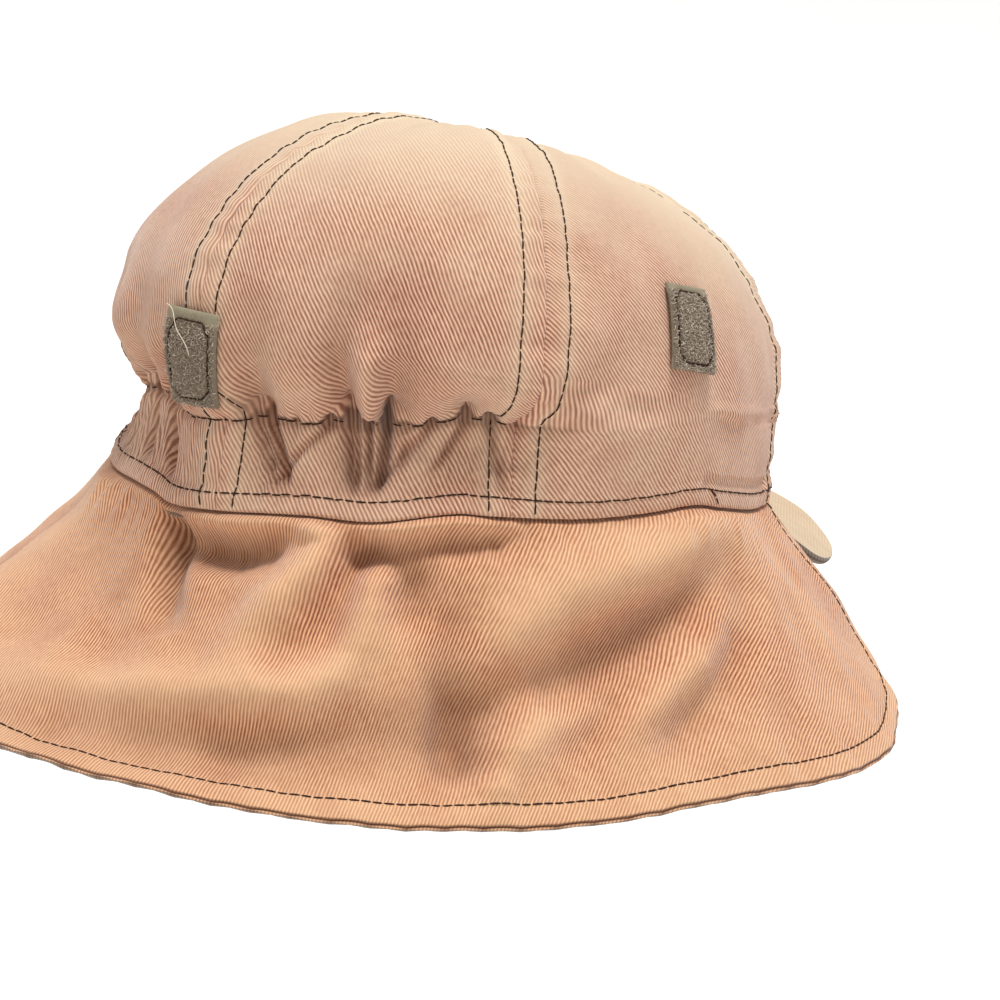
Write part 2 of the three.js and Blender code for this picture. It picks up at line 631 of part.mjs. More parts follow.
const cap = new THREE.Group();
cap.name = "legionnaire_cap";

function addPiece(name, geometry, material) {
  const mesh = new THREE.Mesh(geometry, material);
  mesh.name = name;
  cap.add(mesh);
}

const GATHERED_COLUMNS = 36;
const PLAIN_COLUMNS = 10;

const [leftFront, leftTemple, leftBack, back, rightBack, rightTemple, rightFront] = SEAMS;
addPiece("panel_back_right", panelGeometry(back, rightBack, GATHERED_COLUMNS), twill);
addPiece("panel_back_left", panelGeometry(leftBack, back, GATHERED_COLUMNS), twill);
addPiece("panel_side_right", panelGeometry(rightBack, rightTemple, PLAIN_COLUMNS), twill);
addPiece("panel_side_left", panelGeometry(leftTemple, leftBack, PLAIN_COLUMNS), twill);
addPiece("panel_front_right", panelGeometry(rightTemple, rightFront, PLAIN_COLUMNS), twill);
addPiece("panel_front_left", panelGeometry(leftFront, leftTemple, PLAIN_COLUMNS), twill);
addPiece("neck_flap", flapGeometry(), flapTwill);
addPiece("peak", peakGeometry(), peakTwill);
addPiece("loop_patch_back", patchGeometry({ angle: -1, share: 0.28, turn: 3 }), loopTape);
addPiece("loop_patch_right", patchGeometry({ angle: 81, share: 0.44, turn: 0 }), loopTape);
addPiece("loop_patch_left", patchGeometry({ angle: -81, share: 0.44, turn: 0 }), loopTape);

export default cap;
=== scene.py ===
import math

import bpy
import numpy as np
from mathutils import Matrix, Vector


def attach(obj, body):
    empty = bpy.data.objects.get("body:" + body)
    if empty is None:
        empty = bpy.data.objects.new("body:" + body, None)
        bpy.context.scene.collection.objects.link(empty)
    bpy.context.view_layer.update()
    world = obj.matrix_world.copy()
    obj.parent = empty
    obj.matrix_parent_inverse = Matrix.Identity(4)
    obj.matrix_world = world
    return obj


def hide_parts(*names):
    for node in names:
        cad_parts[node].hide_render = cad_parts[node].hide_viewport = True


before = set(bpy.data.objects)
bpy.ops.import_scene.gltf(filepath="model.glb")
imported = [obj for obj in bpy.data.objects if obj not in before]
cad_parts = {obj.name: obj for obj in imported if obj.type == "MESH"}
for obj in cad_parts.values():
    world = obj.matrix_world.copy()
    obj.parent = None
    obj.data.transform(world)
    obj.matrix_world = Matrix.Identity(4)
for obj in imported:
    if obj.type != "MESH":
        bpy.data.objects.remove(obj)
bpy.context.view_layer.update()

# A legionnaire cap of faded cotton twill, seen from behind on its right: a crown of six panels, gathered by
# the elastic in its back casing, a neck flap, a peak and three patches of loop tape.
#
# Lengths are millimetres until a mesh is made of them. +Z is up, -Y the front and -X the wearer's right.
# Angles are degrees round the head opening: 0 at the back centre, 90 at the wearer's right, 180 at the
# front. A surface is a function of an angle and a share, which runs from 0 at the rim to 1 at the top of
# the crown, the hem of the flap or the edge of the peak.

MM = 0.001
UV_UNIT = 100.0  # millimetres of cloth in one unit of a UV map

# Cloth
WALL = 1.5  # doubled cotton twill
GAP = 0.3
TUCK = 5.0  # turned-in edge of the flap and the peak, inside the crown
TUCK_GAP = 0.6

# Crown
RIM_HALF_LENGTH = 103.0
RIM_HALF_WIDTH = 88.5
CROWN_HEIGHT = 102.0
CASING_HEIGHT = 23.0  # the elastic's channel at the back
CASING_END = 54.0  # degrees from the back centre to where the elastic ends
RIM_STRIP = 4.5  # folded lower edge, below its stitching
TIP_RADIUS = 0.1
BULGE = 7.5  # how far the crown swells past the rim
PINCH = 7.0  # how far the elastic draws the casing in
CASING_LINE = 1.6  # depth of the pinched line over the casing
CASING_LINE_WIDTH = 1.3
RIM_WAVE = 7.5  # how far the rim hangs down at the back
SLUMP = 6.0  # depth of the soft dents in the top
GATHER_DEPTH = 4.5
GATHER_WIDTH = 2.6
CREASE_DEPTH = 5.0
CREASE_WIDTH = 7.0

# The pressed outline beside the peak: lowest and highest place, first and last angle.
IMPRINT = (5.2, 8.0, 88.0, 115.5)
IMPRINT_DEPTH = 0.6

# Flap
FLAP_END = 126.0  # degrees from the back centre to its front edges
FLAP_REACH = 66.0
FLAP_DROP = 76.5
FLAP_CORNER = 20.0
CORNER_RISE = 26.0
FOLD_HEIGHT = 8.0
FOLD_WIDTH = 12.0
HEM = 6.5  # the turned-up edge of the flap
HEM_LAYER = 0.8  # how far the inner layer of the hem shows below the outer one
HEM_NOTCH = 0.55  # depth of the line between the two layers
HEM_NOTCH_WIDTH = 0.3
LEVEL_RUN = 1.2  # how far below the rim the flap comes out level with the crown
FLAP_SPREAD = 1.3  # the flap's length for one of the rim, halfway down

# Peak
PEAK_END = 51.0
PEAK_REACH = 66.0
PEAK_WALL = 3.0
PEAK_HALF_WIDTH = 80.0  # along its middle, for its crumples
PEAK_OVERHANG = 6.0
PEAK_DARK_WRAP = 0.7  # how far the darker colour of the underside wraps over its edge
PEAK_SLOPE = 0.08
PEAK_ARCH = 0.88
PEAK_ARCH_POWER = 1.6

# Loop-tape patches
PATCH_WIDTH = 17.5
PATCH_HEIGHT = 22.5
PATCH_WALL = 1.6
PATCH_GAP = 0.5
PATCH_BORDER = 0.5  # woven edge of the tape, without loops
PATCH_TOP = 2.0  # that edge at the top
PATCH_INSET = 2.0  # from the tape's edge to its stitching
PATCH_CUT = 2.4  # how much of each corner the stitching cuts off
PATCH_SINK = 0.35  # how deep the stitching draws the tape in
PATCH_SINK_WIDTH = 0.8
PATCH_STITCH_HEIGHT = -0.2  # over the tape's face
LOOSE_THREAD_HEIGHT = 0.75
LOOP_SPACING = 0.62
LOOP_JITTER = 0.3
LOOP_THREAD = 0.11  # half its thickness
LOOP_HALF_WIDTH = 0.42
LOOP_HEIGHT = 0.62
LOOP_SIZES = (0.75, 1.25)  # the smallest and largest, in shares of these
LOOP_TILT = 0.5
LOOP_CLEAR = 0.45  # from the stitches to the nearest loops
LOOP_SINK = 0.15

# Fineness of the meshes
FLAP_COLUMNS = 430
FLAP_ROWS = 84
PEAK_COLUMNS = 180
PEAK_ROWS = 60
PATCH_COLUMNS = 44
PATCH_ROWS = 62
STITCH_RINGS = 8
STITCH_SIDES = 6
LOOP_RINGS = 7
LOOP_SIDES = 3

# Stitching
STITCH_PITCH = 2.9
PATCH_STITCH_PITCH = 2.2
STITCH_SHARE = 1.06  # of the pitch, so that the dives of two stitches meet
STITCH_RISE = 0.32  # how high the middle of a stitch lies, as a share of the thread
STITCH_DIVE = 0.75  # how far its ends dive from there
ROW_START = 0.8  # above the rim
ROW_END = 0.97  # share of the crown
ROWS_MEET = 24.0  # degrees from a seam to where its rows have met at the top
BESIDE_PEAK = (90.3, 93.0)  # degrees of the upper and lower end of the short row there
THREAD = 0.48  # twisted thread
LOOSE_THREAD = 0.24
ROW_SINK = 0.4  # how deep a row of stitches draws the cloth in
ROW_WIDTH = 0.9
EDGE_PAST_ROW = 1.0  # from a row of stitches to the folded edge beside it
HEM_PAST_ROW = 0.8  # the same at the hem
LAYER_STEP = 0.55  # height of a folded edge over the cloth beside it
STEP_RUN = 0.9
SEAM_SINK = 0.45
SEAM_WIDTH = 0.5

# The shares at which the crown's spans end, as in the CAD: the casing, then the puff up to its widest
# place.
CASING_TOP = 0.16
WIDEST = 0.34
CROWN_LENGTH = CASING_HEIGHT / CASING_TOP

# How soon relief and steps set in, as shares: of the casing's height, of the crown's length above the
# casing, of what is left above the widest place, of the crown's length below its top, and of the flap's
# length below the rim. The last two are millimetres from the rim to where soft crumples reach full height.
GATHER_FADE = 0.3
CREASE_FADE = 0.02
FOOT_RUN = 0.08
SLUMP_FADE = 0.5
TOP_FADE = 0.12
FOLD_FADE = 0.05
CRUMPLE_RISE = 30.0
FLAP_CRUMPLE_RISE = 6.0


def table(columns, rows):
    """One array for each named column."""
    return {name: np.array(values, float) for name, values in zip(columns, zip(*rows))}


def tables(columns, groups):
    """A table for each named group of rows."""
    return {name: table(columns, rows) for name, rows in groups.items()}


# Crown sections. rise is a share of RIM_WAVE, bulge of BULGE and widest of CROWN_HEIGHT. drawn is 1 where
# the elastic draws the casing in by PINCH, and tall is the casing's share of CASING_HEIGHT. roundness is
# the dome's power: 2 is an ellipse.
CROWN_SECTIONS = table(
    ["angle", "rise", "drawn", "tall", "bulge", "widest", "roundness"],
    [
        [-180, 0.0, 0, 1.0, 0.3, 0.32, 1.95], [-120, 0.15, 0, 1.0, 0.1, 0.3, 1.95],
        [-90, 0.4, 0, 0.9, 0.2, 0.31, 1.95], [-70, 0.3, 0.6, 0.75, 0.3, 0.33, 1.95],
        [-50, 0.0, 1, 0.75, 0.4, 0.34, 2.0], [-28, -0.75, 1, 1.0, 0.6, 0.36, 2.1],
        [-9, -1.0, 0.8, 1.0, 0.75, 0.36, 2.15], [2, -1.0, 0.35, 1.0, 0.75, 0.36, 2.15],
        [11, -0.95, 0.8, 1.0, 0.8, 0.36, 2.15], [28, -0.75, 1, 1.0, 0.85, 0.36, 2.2],
        [50, -0.15, 0.8, 1.0, 0.75, 0.34, 2.15], [65, 0.1, 0, 1.0, 0.6, 0.33, 2.1],
        [90, 0.4, 0, 1.0, 0.2, 0.3, 2.05], [120, 0.15, 0, 1.0, 0.0, 0.28, 2.0],
        [180, 0.0, 0, 1.0, 0.3, 0.32, 1.95],
    ],
)

# Waves of the sewn rim, in millimetres up from the sections above. The solids leave them out.
RIM_WAVES = table(
    ["angle", "up"],
    [
        [-180, 0.0], [-60, 0.0], [-44, -0.8], [-22, 1.6], [-12, 0.8], [-7, -1.0], [1, -1.0], [20, 0.4],
        [32, -0.7], [44, 0.4], [50, -0.8], [62, -2.1], [76, -1.6], [87, -0.5], [95, -1.6], [108, -2.2],
        [125, -0.5], [140, 0.0], [180, 0.0],
    ],
)

# Soft dents and humps of the top, seen from above. across and radius are shares of RIM_HALF_WIDTH, along
# of RIM_HALF_LENGTH and height of SLUMP.
TOP_SLUMPS = table(
    ["across", "along", "radius", "height"],
    [
        [0.09, 0.02, 0.38, -1.0], [-0.25, -0.2, 0.43, -1.0], [0.3, 0.3, 0.34, 0.6],
    ],
)

# Seams of the crown. foot is how many degrees the seam stands off its upper line inside the casing, and
# half the distance in millimetres from the seam to the rows of stitches beside it.
SEAMS = table(
    ["angle", "foot", "half"],
    [
        [-180, 0.0, 5.2], [-120, 0.0, 6.0], [-54, 1.6, 6.2], [0, 4.2, 5.0], [54, -1.6, 6.2],
        [120, 0.0, 6.0], [180, 0.0, 5.2],
    ],
)

# Gathers of the casing, ridges where depth is negative. lean is how many degrees a gather's foot stands
# off its head, rise how far it runs up the puff and fall how far down from the head it reaches, as shares
# of CASING_HEIGHT. depth is a share of GATHER_DEPTH and width of GATHER_WIDTH.
GATHERS = table(
    ["angle", "lean", "depth", "width", "rise", "fall"],
    [
        [-50, 2, 0.6, 1.3, 0.3, 1.0], [-44, 0, 0.8, 1.0, 0.4, 1.0], [-38, -2, 0.6, 1.4, 0.3, 1.0],
        [-32, 0, 0.9, 1.0, 0.4, 1.0], [-24, 7, 0.9, 0.9, 0.3, 1.0], [-15.5, 8.5, 1.2, 0.8, 0.3, 1.0],
        [9, 7.5, 0.6, 0.5, 0.2, 1.0], [11, 8, 1.0, 0.6, 0.2, 1.0], [18.5, 0, -0.4, 1.8, 0.1, 1.0],
        [21.5, -12, 0.5, 0.7, 0.1, 0.6], [24.5, 3.5, 0.9, 0.5, 0.3, 1.0],
        [26.2, 2.5, 0.9, 0.5, 0.2, 1.0], [28.5, 2, 0.8, 0.5, 0.2, 1.0], [31.7, -0.5, 1.3, 0.7, 0.3, 1.0],
        [39, -14, 0.5, 0.8, 0.1, 0.5], [39, -3, -0.4, 2.0, 0.1, 1.0], [44.5, -9, 0.6, 0.6, 0.2, 0.3],
        [48.5, 3.5, 0.7, 0.6, 0.2, 1.0],
    ],
)

# Creases of the crown above the casing. The rows of a crease are places along its line, valleys where
# depth is positive. depth is a share of CREASE_DEPTH and width of CREASE_WIDTH.
CREASES = tables(
    ["angle", "share", "depth", "width"],
    {
        "middle": [
            [24.8, 0.17, 1.0, 0.6], [24.4, 0.26, 1.0, 0.7], [23.9, 0.33, 0.9, 0.8], [25, 0.38, 0.6, 1.0],
            [29.5, 0.42, 0.3, 1.2], [36, 0.5, 0.0, 1.5],
        ],
        "right": [
            [33, 0.17, 1.0, 0.6], [32.8, 0.24, 0.9, 0.7], [33.2, 0.31, 0.7, 0.8], [33.5, 0.39, 0.3, 1.0],
            [36, 0.48, 0.0, 1.4],
        ],
        "between": [[28.7, 0.2, -0.4, 0.5], [28.3, 0.3, -0.5, 0.6], [29.5, 0.37, 0.0, 0.9]],
        "by the patch": [
            [9.4, 0.17, 1.0, 0.7], [9.2, 0.24, 0.9, 0.8], [9.2, 0.31, 0.5, 0.9], [11, 0.42, 0.0, 1.3],
        ],
        "far right": [[44.5, 0.17, 0.5, 0.6], [44, 0.24, 0.2, 0.8], [44, 0.32, 0.0, 1.0]],
        "near left": [
            [-25, 0.17, 0.8, 0.8], [-21, 0.23, 0.7, 0.9], [-18.5, 0.37, 0.4, 1.1], [-17, 0.48, 0.0, 1.4],
        ],
        "left of the patch": [[-14.5, 0.17, 0.8, 0.6], [-10.8, 0.27, 0.5, 0.7], [-11.5, 0.42, 0.0, 1.0]],
        "left": [[-33, 0.17, 0.8, 0.9], [-34, 0.32, 0.6, 1.0], [-37, 0.46, 0.0, 1.4]],
        "far left": [[-44, 0.17, 0.6, 0.9], [-45, 0.36, 0.0, 1.2]],
        "diagonal": [
            [56.2, 0.242, 0.15, 1.0], [59.5, 0.284, 0.3, 1.0], [67.2, 0.368, 0.35, 1.1],
            [70.8, 0.4, 0.3, 1.2], [76, 0.45, 0.0, 1.4],
        ],
        "over the diagonal": [[57, 0.32, -0.15, 1.1], [62, 0.4, -0.25, 1.2], [68, 0.46, 0.0, 1.4]],
    },
)

# Flap sections. reach and kneeOut are shares of FLAP_REACH, drop and kneeDown of FLAP_DROP. The knee is
# where the flap stops hanging and starts to stand out.
FLAP_SECTIONS = table(
    ["angle", "reach", "drop", "kneeOut", "kneeDown"],
    [
        [-126, 0.64, 0.78, 0.27, 0.35], [-100, 0.72, 0.86, 0.3, 0.45], [-75, 0.88, 0.82, 0.31, 0.45],
        [-55, 0.97, 0.77, 0.27, 0.42], [-30, 0.94, 0.82, 0.19, 0.5], [-10, 0.77, 0.87, 0.17, 0.56],
        [20, 0.56, 0.96, 0.18, 0.53], [40, 0.46, 0.99, 0.15, 0.53], [60, 0.47, 0.96, 0.15, 0.53],
        [80, 0.54, 0.88, 0.18, 0.48], [100, 0.67, 0.835, 0.28, 0.43], [126, 0.71, 0.75, 0.36, 0.35],
    ],
)

# Folds of the flap. The rows of a fold are places along its line, ridges where height is positive.
# height is a share of FOLD_HEIGHT and width of FOLD_WIDTH.
FLAP_FOLDS = tables(
    ["angle", "share", "height", "width"],
    {
        "seam pleat": [
            [-6, 0.03, -0.6, 0.35], [-3.2, 0.17, -0.75, 0.35], [0.8, 0.34, -0.5, 0.4],
            [3.2, 0.46, 0.0, 0.6],
        ],
        "left roll": [[-2, 0.035, 0.3, 0.35], [7, 0.03, 0.4, 0.35], [16, 0.02, 0.3, 0.3]],
        "hollow": [
            [-2.5, 0.08, -0.5, 0.45], [3, 0.11, -0.75, 0.5], [10, 0.125, -0.75, 0.5],
            [15, 0.11, -0.6, 0.45], [18, 0.05, -0.2, 0.4],
        ],
        "rib": [
            [20, 0.01, 0.3, 0.4], [25.8, 0.09, 0.6, 0.45], [23, 0.195, 0.7, 0.5],
            [20, 0.285, 0.65, 0.55], [17.8, 0.395, 0.5, 0.6], [16.5, 0.49, 0.35, 0.7],
            [16.2, 0.6, 0.0, 0.9],
        ],
        "beside the rib": [
            [29, 0.13, -0.5, 0.45], [29, 0.27, -0.7, 0.5], [27.6, 0.41, -0.65, 0.55],
            [24, 0.51, -0.45, 0.6], [19, 0.57, -0.1, 0.6],
        ],
        "shelf": [
            [36, 0.14, 0.4, 0.5], [32.3, 0.21, 0.65, 0.5], [31.3, 0.3, 0.8, 0.6], [30.3, 0.4, 0.8, 0.65],
            [27.6, 0.51, 0.8, 0.7], [23.8, 0.59, 0.75, 0.75], [17.8, 0.635, 0.7, 0.8],
            [6, 0.685, 0.6, 0.8], [-8, 0.75, 0.45, 0.9], [-22, 0.82, 0.2, 1.0],
        ],
        "under the shelf": [
            [-10, 0.89, -0.35, 0.9], [8, 0.8, -0.5, 0.9], [20.5, 0.78, -0.5, 0.9],
            [32.5, 0.73, -0.45, 0.9], [42, 0.71, -0.3, 0.9],
        ],
        "pocket": [
            [29, 0.075, -0.4, 0.4], [32.2, 0.09, -0.7, 0.45], [35.2, 0.11, -0.8, 0.45],
            [37.8, 0.19, -0.7, 0.45], [38, 0.285, -0.4, 0.5], [37.8, 0.37, 0.0, 0.7],
        ],
        "roll": [
            [31, 0.02, 0.3, 0.3], [38.5, 0.015, 0.6, 0.35], [46, 0.015, 0.6, 0.35],
            [52, 0.015, 0.3, 0.3],
        ],
        "under the roll": [
            [39, 0.075, -0.4, 0.35], [44, 0.07, -0.5, 0.35], [50, 0.065, -0.45, 0.35],
            [54, 0.04, -0.1, 0.3],
        ],
        "pleat": [
            [46.8, 0.2, 0.0, 0.7], [45.6, 0.36, -0.35, 0.6], [44.2, 0.55, -0.55, 0.5],
            [44.8, 0.71, -0.6, 0.45], [46.5, 0.86, -0.1, 0.5],
        ],
        "low hollow": [[49, 0.62, -0.35, 0.6], [48, 0.78, -0.45, 0.5]],
        "low crest": [
            [60, 0.6, 0.2, 0.7], [55, 0.655, 0.5, 0.6], [52.4, 0.74, 0.6, 0.55], [50.5, 0.84, 0.4, 0.5],
            [50, 0.93, 0.1, 0.5],
        ],
        "sweep": [
            [98, 0.07, 0.2, 0.8], [85, 0.14, 0.5, 0.9], [71, 0.165, 0.6, 0.9], [60.5, 0.23, 0.6, 0.9],
            [54.2, 0.34, 0.5, 0.8], [50, 0.45, 0.3, 0.8],
        ],
        "under the sweep": [
            [91, 0.2, -0.3, 0.7], [83, 0.295, -0.55, 0.75], [75, 0.385, -0.65, 0.75],
            [66, 0.45, -0.65, 0.75], [58, 0.52, -0.6, 0.75], [51, 0.585, -0.3, 0.7],
        ],
        "low sweep": [
            [89, 0.4, 0.2, 0.7], [80, 0.54, 0.4, 0.7], [71, 0.62, 0.4, 0.7], [65, 0.68, 0.2, 0.7],
        ],
        "thin valley": [
            [74, 0.54, -0.1, 0.4], [67, 0.62, -0.35, 0.4], [63, 0.71, -0.35, 0.4], [59, 0.81, 0.0, 0.5],
        ],
        "right valley": [
            [93.5, 0.32, -0.2, 0.5], [89, 0.465, -0.4, 0.5], [83, 0.605, -0.45, 0.5],
            [75, 0.75, -0.35, 0.55], [69, 0.85, 0.0, 0.6],
        ],
        "left ridge": [[-30, 0.1, 0.3, 1.1], [-36, 0.6, 0.5, 1.3]],
        "left valley": [[-48, 0.1, -0.3, 1.1], [-53, 0.8, -0.5, 1.4]],
        "left swell": [[-66, 0.1, 0.3, 1.1], [-72, 0.9, 0.6, 1.6]],
        "left hollow": [[-86, 0.15, -0.3, 1.2], [-89, 0.8, -0.5, 1.5]],
        "left front": [[-106, 0.2, 0.2, 1.2], [-108, 0.8, 0.4, 1.4]],
    },
)

# Crumples and puckers. The numbers are about how high they are, their shortest and longest wave in
# millimetres, the seed of their random numbers, and in degrees the heading of the waves and the spread
# round it.
WAVES = 22
CRUMPLES = {
    "crown": (0.45, 16, 46, 3, 0, 180),
    "beside a seam": (0.28, 4.5, 11, 500, 90, 30),
    "beside the rim": (0.22, 5, 12, 11, 0, 24),
    "casing": (0.5, 2.6, 6.5, 7, 0, 34),
    "over the casing": (0.55, 3.2, 8.0, 19, 0, 20),
    "flap": (0.5, 14, 44, 23, 0, 180),
    "beside the hem": (0.25, 6, 15, 29, 0, 30),
    "under the rim": (0.4, 5, 12, 31, 0, 30),
    "peak": (0.12, 9, 30, 41, 0, 180),
}

# How far the puckers reach: from a seam's rows of stitches, from the row at the rim, from the casing's
# upper edge, from the hem's row and from the rim down the flap.
SEAM_PUCKER = 3.5
RIM_PUCKER = 5.0
CASING_PUCKER = 6.0
HEM_PUCKER = 8.0
FLAP_PUCKER = 12.0

# How much crisper than the CAD's solids the folds, gathers and creases of the cloth are.
RELIEF = 1.35

# How much paler the cloth is: in the sun, on the strips beside the seams, on the hem and low on the
# flap, where it is worn, and on crests, partly worn and partly a painted highlight. Then how much painted
# shade darkens it in valleys, in the crease over the casing and in the line between the hem's two layers.
SUN_WEAR = 0.85
SUN_FROM_BACK = 62.0  # the height where it sets in at the back
SUN_FROM_FRONT = 38.0  # and at the front
SUN_RUN = 40.0
CROWN_CREST_WEAR_AND_HIGHLIGHT = 0.275
FLAP_CREST_WEAR_AND_HIGHLIGHT = 0.55
STRIP_WEAR = 0.3
STRIP_WEAR_WIDTH = 2.5
HEM_WEAR = 0.12
HEM_WEAR_RUN = 1.5
LOW_WEAR = 0.15
LOW_WEAR_FROM = 0.45  # share of the flap
LOW_WEAR_RUN = 0.5
CROWN_VALLEY_SHADE = 0.12
FLAP_VALLEY_SHADE = 0.4
CASING_SHADE = 0.75
CASING_SHADE_WIDTH = 0.6
HEM_SHADE_WIDTH = 0.35


# Curves and noise


def quarter(x):
    """Sine of a quarter turn: rises from 0 and levels off at 1."""
    return np.sin(np.clip(x, 0, 1) * np.pi / 2)


def ease(x):
    """3x^2 - 2x^3: leaves 0 and reaches 1 level."""
    x = np.clip(x, 0, 1)
    return x * x * (3 - 2 * x)


def hump(x):
    """e to the power -x^2."""
    return np.exp(-x * x)


def mix(a, b, share):
    return a + (b - a) * share


def matched(a, b):
    """Two values as arrays of one shape."""
    return np.broadcast_arrays(np.asarray(a, float), np.asarray(b, float))


def length_of(v):
    return np.sqrt((v * v).sum(-1))


def unit(v):
    return v / np.maximum(length_of(v), 1e-12)[..., None]


def bend(sections, column, angle):
    """A smooth curve through one column over the angle: cubic pieces whose slope at a row is that of the
    line between its neighbours, and 0 at both ends."""
    angles = sections["angle"]
    values = sections[column]
    slopes = np.zeros(len(angles))
    slopes[1:-1] = (values[2:] - values[:-2]) / (angles[2:] - angles[:-2])
    i = np.clip(np.searchsorted(angles, angle, side="right") - 1, 0, len(angles) - 2)
    span = angles[i + 1] - angles[i]
    x = (angle - angles[i]) / span
    to_next = x * x * (3 - 2 * x)
    leaving = x * (1 - x) ** 2 * span * slopes[i]
    reaching = x * x * (1 - x) * span * slopes[i + 1]
    return mix(values[i], values[i + 1], to_next) + leaving - reaching


def crumples(kind, u, v, more_seed=0):
    """Soft crumples: a sum of plane waves, each with its own length, direction and phase."""
    height, shortest, longest, seed, heading, spread = CRUMPLES[kind]
    random = np.random.default_rng(seed + more_seed)
    total = np.zeros(np.broadcast(u, v).shape)
    for _ in range(WAVES):
        turn = np.radians(heading + random.uniform(-0.5, 0.5) * spread)
        run = u * np.cos(turn) + v * np.sin(turn)
        wave_length = random.uniform(shortest, longest)
        total += np.sin(2 * np.pi * (run / wave_length + random.uniform()))
    return height * (total / math.sqrt(WAVES))


def fold_relief(folds, angle, share, length, widest):
    """Ridges and valleys along the lines of the folds. Each fades to its sides as e^-(off/width)^2, and
    between two rows its height and width change evenly. Where spans of one line compete, the strongest
    counts, and different lines add up."""
    total = np.zeros(angle.shape)
    for fold in folds.values():
        angles, shares, heights, widths = fold.values()
        strongest = np.zeros(angle.shape)
        for i in range(len(angles) - 1):
            run = (angles[i + 1] - angles[i]) * DEGREE
            rise = (shares[i + 1] - shares[i]) * length
            x = (angle - angles[i]) * DEGREE
            y = (share - shares[i]) * length
            part = np.clip((x * run + y * rise) / (run * run + rise * rise), 0, 1)
            off = np.hypot(x - part * run, y - part * rise)
            width = widest * mix(widths[i], widths[i + 1], part)
            height = mix(heights[i], heights[i + 1], part) * hump(off / width)
            strongest = np.where(np.abs(height) > np.abs(strongest), height, strongest)
        total += strongest
    return total


# The length of one degree of the rim.
DEGREE = (np.pi / 180) * math.sqrt((RIM_HALF_LENGTH**2 + RIM_HALF_WIDTH**2) / 2)


def ring_point(angle, grow, z):
    """A place on an ellipse that lies grow outside the rim."""
    turn = np.radians(angle)
    x = -(RIM_HALF_WIDTH + grow) * np.sin(turn)
    y = (RIM_HALF_LENGTH + grow) * np.cos(turn)
    return np.stack(np.broadcast_arrays(x, y, z), -1)


def rim_height(angle):
    return RIM_WAVE * bend(CROWN_SECTIONS, "rise", angle) + bend(RIM_WAVES, "up", angle)


def normal_of(surface, angle, share):
    """The cross product of the slopes along the angle and the share, as a unit vector."""
    step = 0.002
    across = surface(angle + 1, share) - surface(angle - 1, share)
    up = surface(angle, share + step) - surface(angle, share - step)
    return unit(np.cross(across, up))


def row_relief(off):
    """A row of stitches at off 0 draws the cloth in."""
    return -ROW_SINK * hump(off / ROW_WIDTH)


def layer_relief(off):
    """A folded edge that ends at off 0 lifts the cloth on its negative side."""
    return LAYER_STEP * (1 - ease(off / STEP_RUN + 0.5))


# Crown


def elastic_pull(angle):
    """1 where the elastic draws the casing in fully, 0 where there is none."""
    return np.clip(bend(CROWN_SECTIONS, "drawn", angle), 0, 1)


def crown_form(angle, share):
    """The dome: an ellipse that is drawn in at the casing, swells to its widest place and closes over as
    a superellipse of the section's roundness, with soft dents in its top."""
    angle, share = matched(angle, share)
    rim = rim_height(angle)
    widest = CROWN_HEIGHT * bend(CROWN_SECTIONS, "widest", angle)
    bulge = BULGE * bend(CROWN_SECTIONS, "bulge", angle)
    power = 2 / bend(CROWN_SECTIONS, "roundness", angle)
    casing = CASING_HEIGHT * bend(CROWN_SECTIONS, "tall", angle)
    in_casing = np.clip(share / CASING_TOP, -1, 1)
    in_puff = np.clip((share - CASING_TOP) / (WIDEST - CASING_TOP), 0, 1)
    climb = casing * in_casing + (widest - rim - casing) * in_puff
    above = (share - WIDEST) / (1 - WIDEST)
    over = np.clip(above, 0, 1) * np.pi / 2
    tip = TIP_RADIUS / RIM_HALF_LENGTH
    inward = tip + (1 - tip) * np.maximum(np.cos(over), 0) ** power
    waist = -PINCH * np.sin(in_casing * np.pi / 2)
    gathered = waist + (bulge + PINCH) * quarter(in_puff)
    plain = bulge * np.sin(climb / (widest - rim) * np.pi / 2)
    point = ring_point(angle, mix(plain, gathered, elastic_pull(angle)), 0.0)
    x = point[..., 0] * inward
    y = point[..., 1] * inward
    z = rim + climb + (CROWN_HEIGHT - widest) * np.sin(over) ** power
    for across, along, radius, height in zip(*TOP_SLUMPS.values()):
        off = np.hypot(x - across * RIM_HALF_WIDTH, y - along * RIM_HALF_LENGTH)
        z = z + SLUMP * height * hump(off / (radius * RIM_HALF_WIDTH)) * ease(above / SLUMP_FADE)
    return np.stack([x, y, z], -1)


def degree_length(angle, share):
    """The crown's millimetres along one degree."""
    return length_of(crown_form(angle + 0.5, share) - crown_form(angle - 0.5, share))


def gather_relief(angle, share):
    """The gathers of the casing and the creases above it. The folded strip at the rim stays smooth."""
    height = share / CASING_TOP * CASING_HEIGHT
    above_strip = ease((height - RIM_STRIP) / (2 * RIM_STRIP))
    down = 1 - height / CASING_HEIGHT
    relief = np.zeros(angle.shape)
    for place, lean, depth, width, rise, fall in zip(*GATHERS.values()):
        line = place + lean * np.maximum(down, 0)
        off = (angle - line) * DEGREE / (width * GATHER_WIDTH)
        kept = (1 - ease(-down / rise)) * (1 - ease((down - fall) / GATHER_FADE))
        relief -= depth * GATHER_DEPTH * hump(off) * above_strip * kept
    above_casing = ease((share - CASING_TOP) / CREASE_FADE)
    creases = fold_relief(CREASES, angle, share, CROWN_LENGTH, CREASE_WIDTH)
    return RELIEF * (relief - CREASE_DEPTH * creases * above_casing)


def seam_line(seam, foot, share):
    """The angle of a seam at a share: it steps aside above the casing, by its foot."""
    return seam + foot * (1 - ease((share - CASING_TOP) / FOOT_RUN))


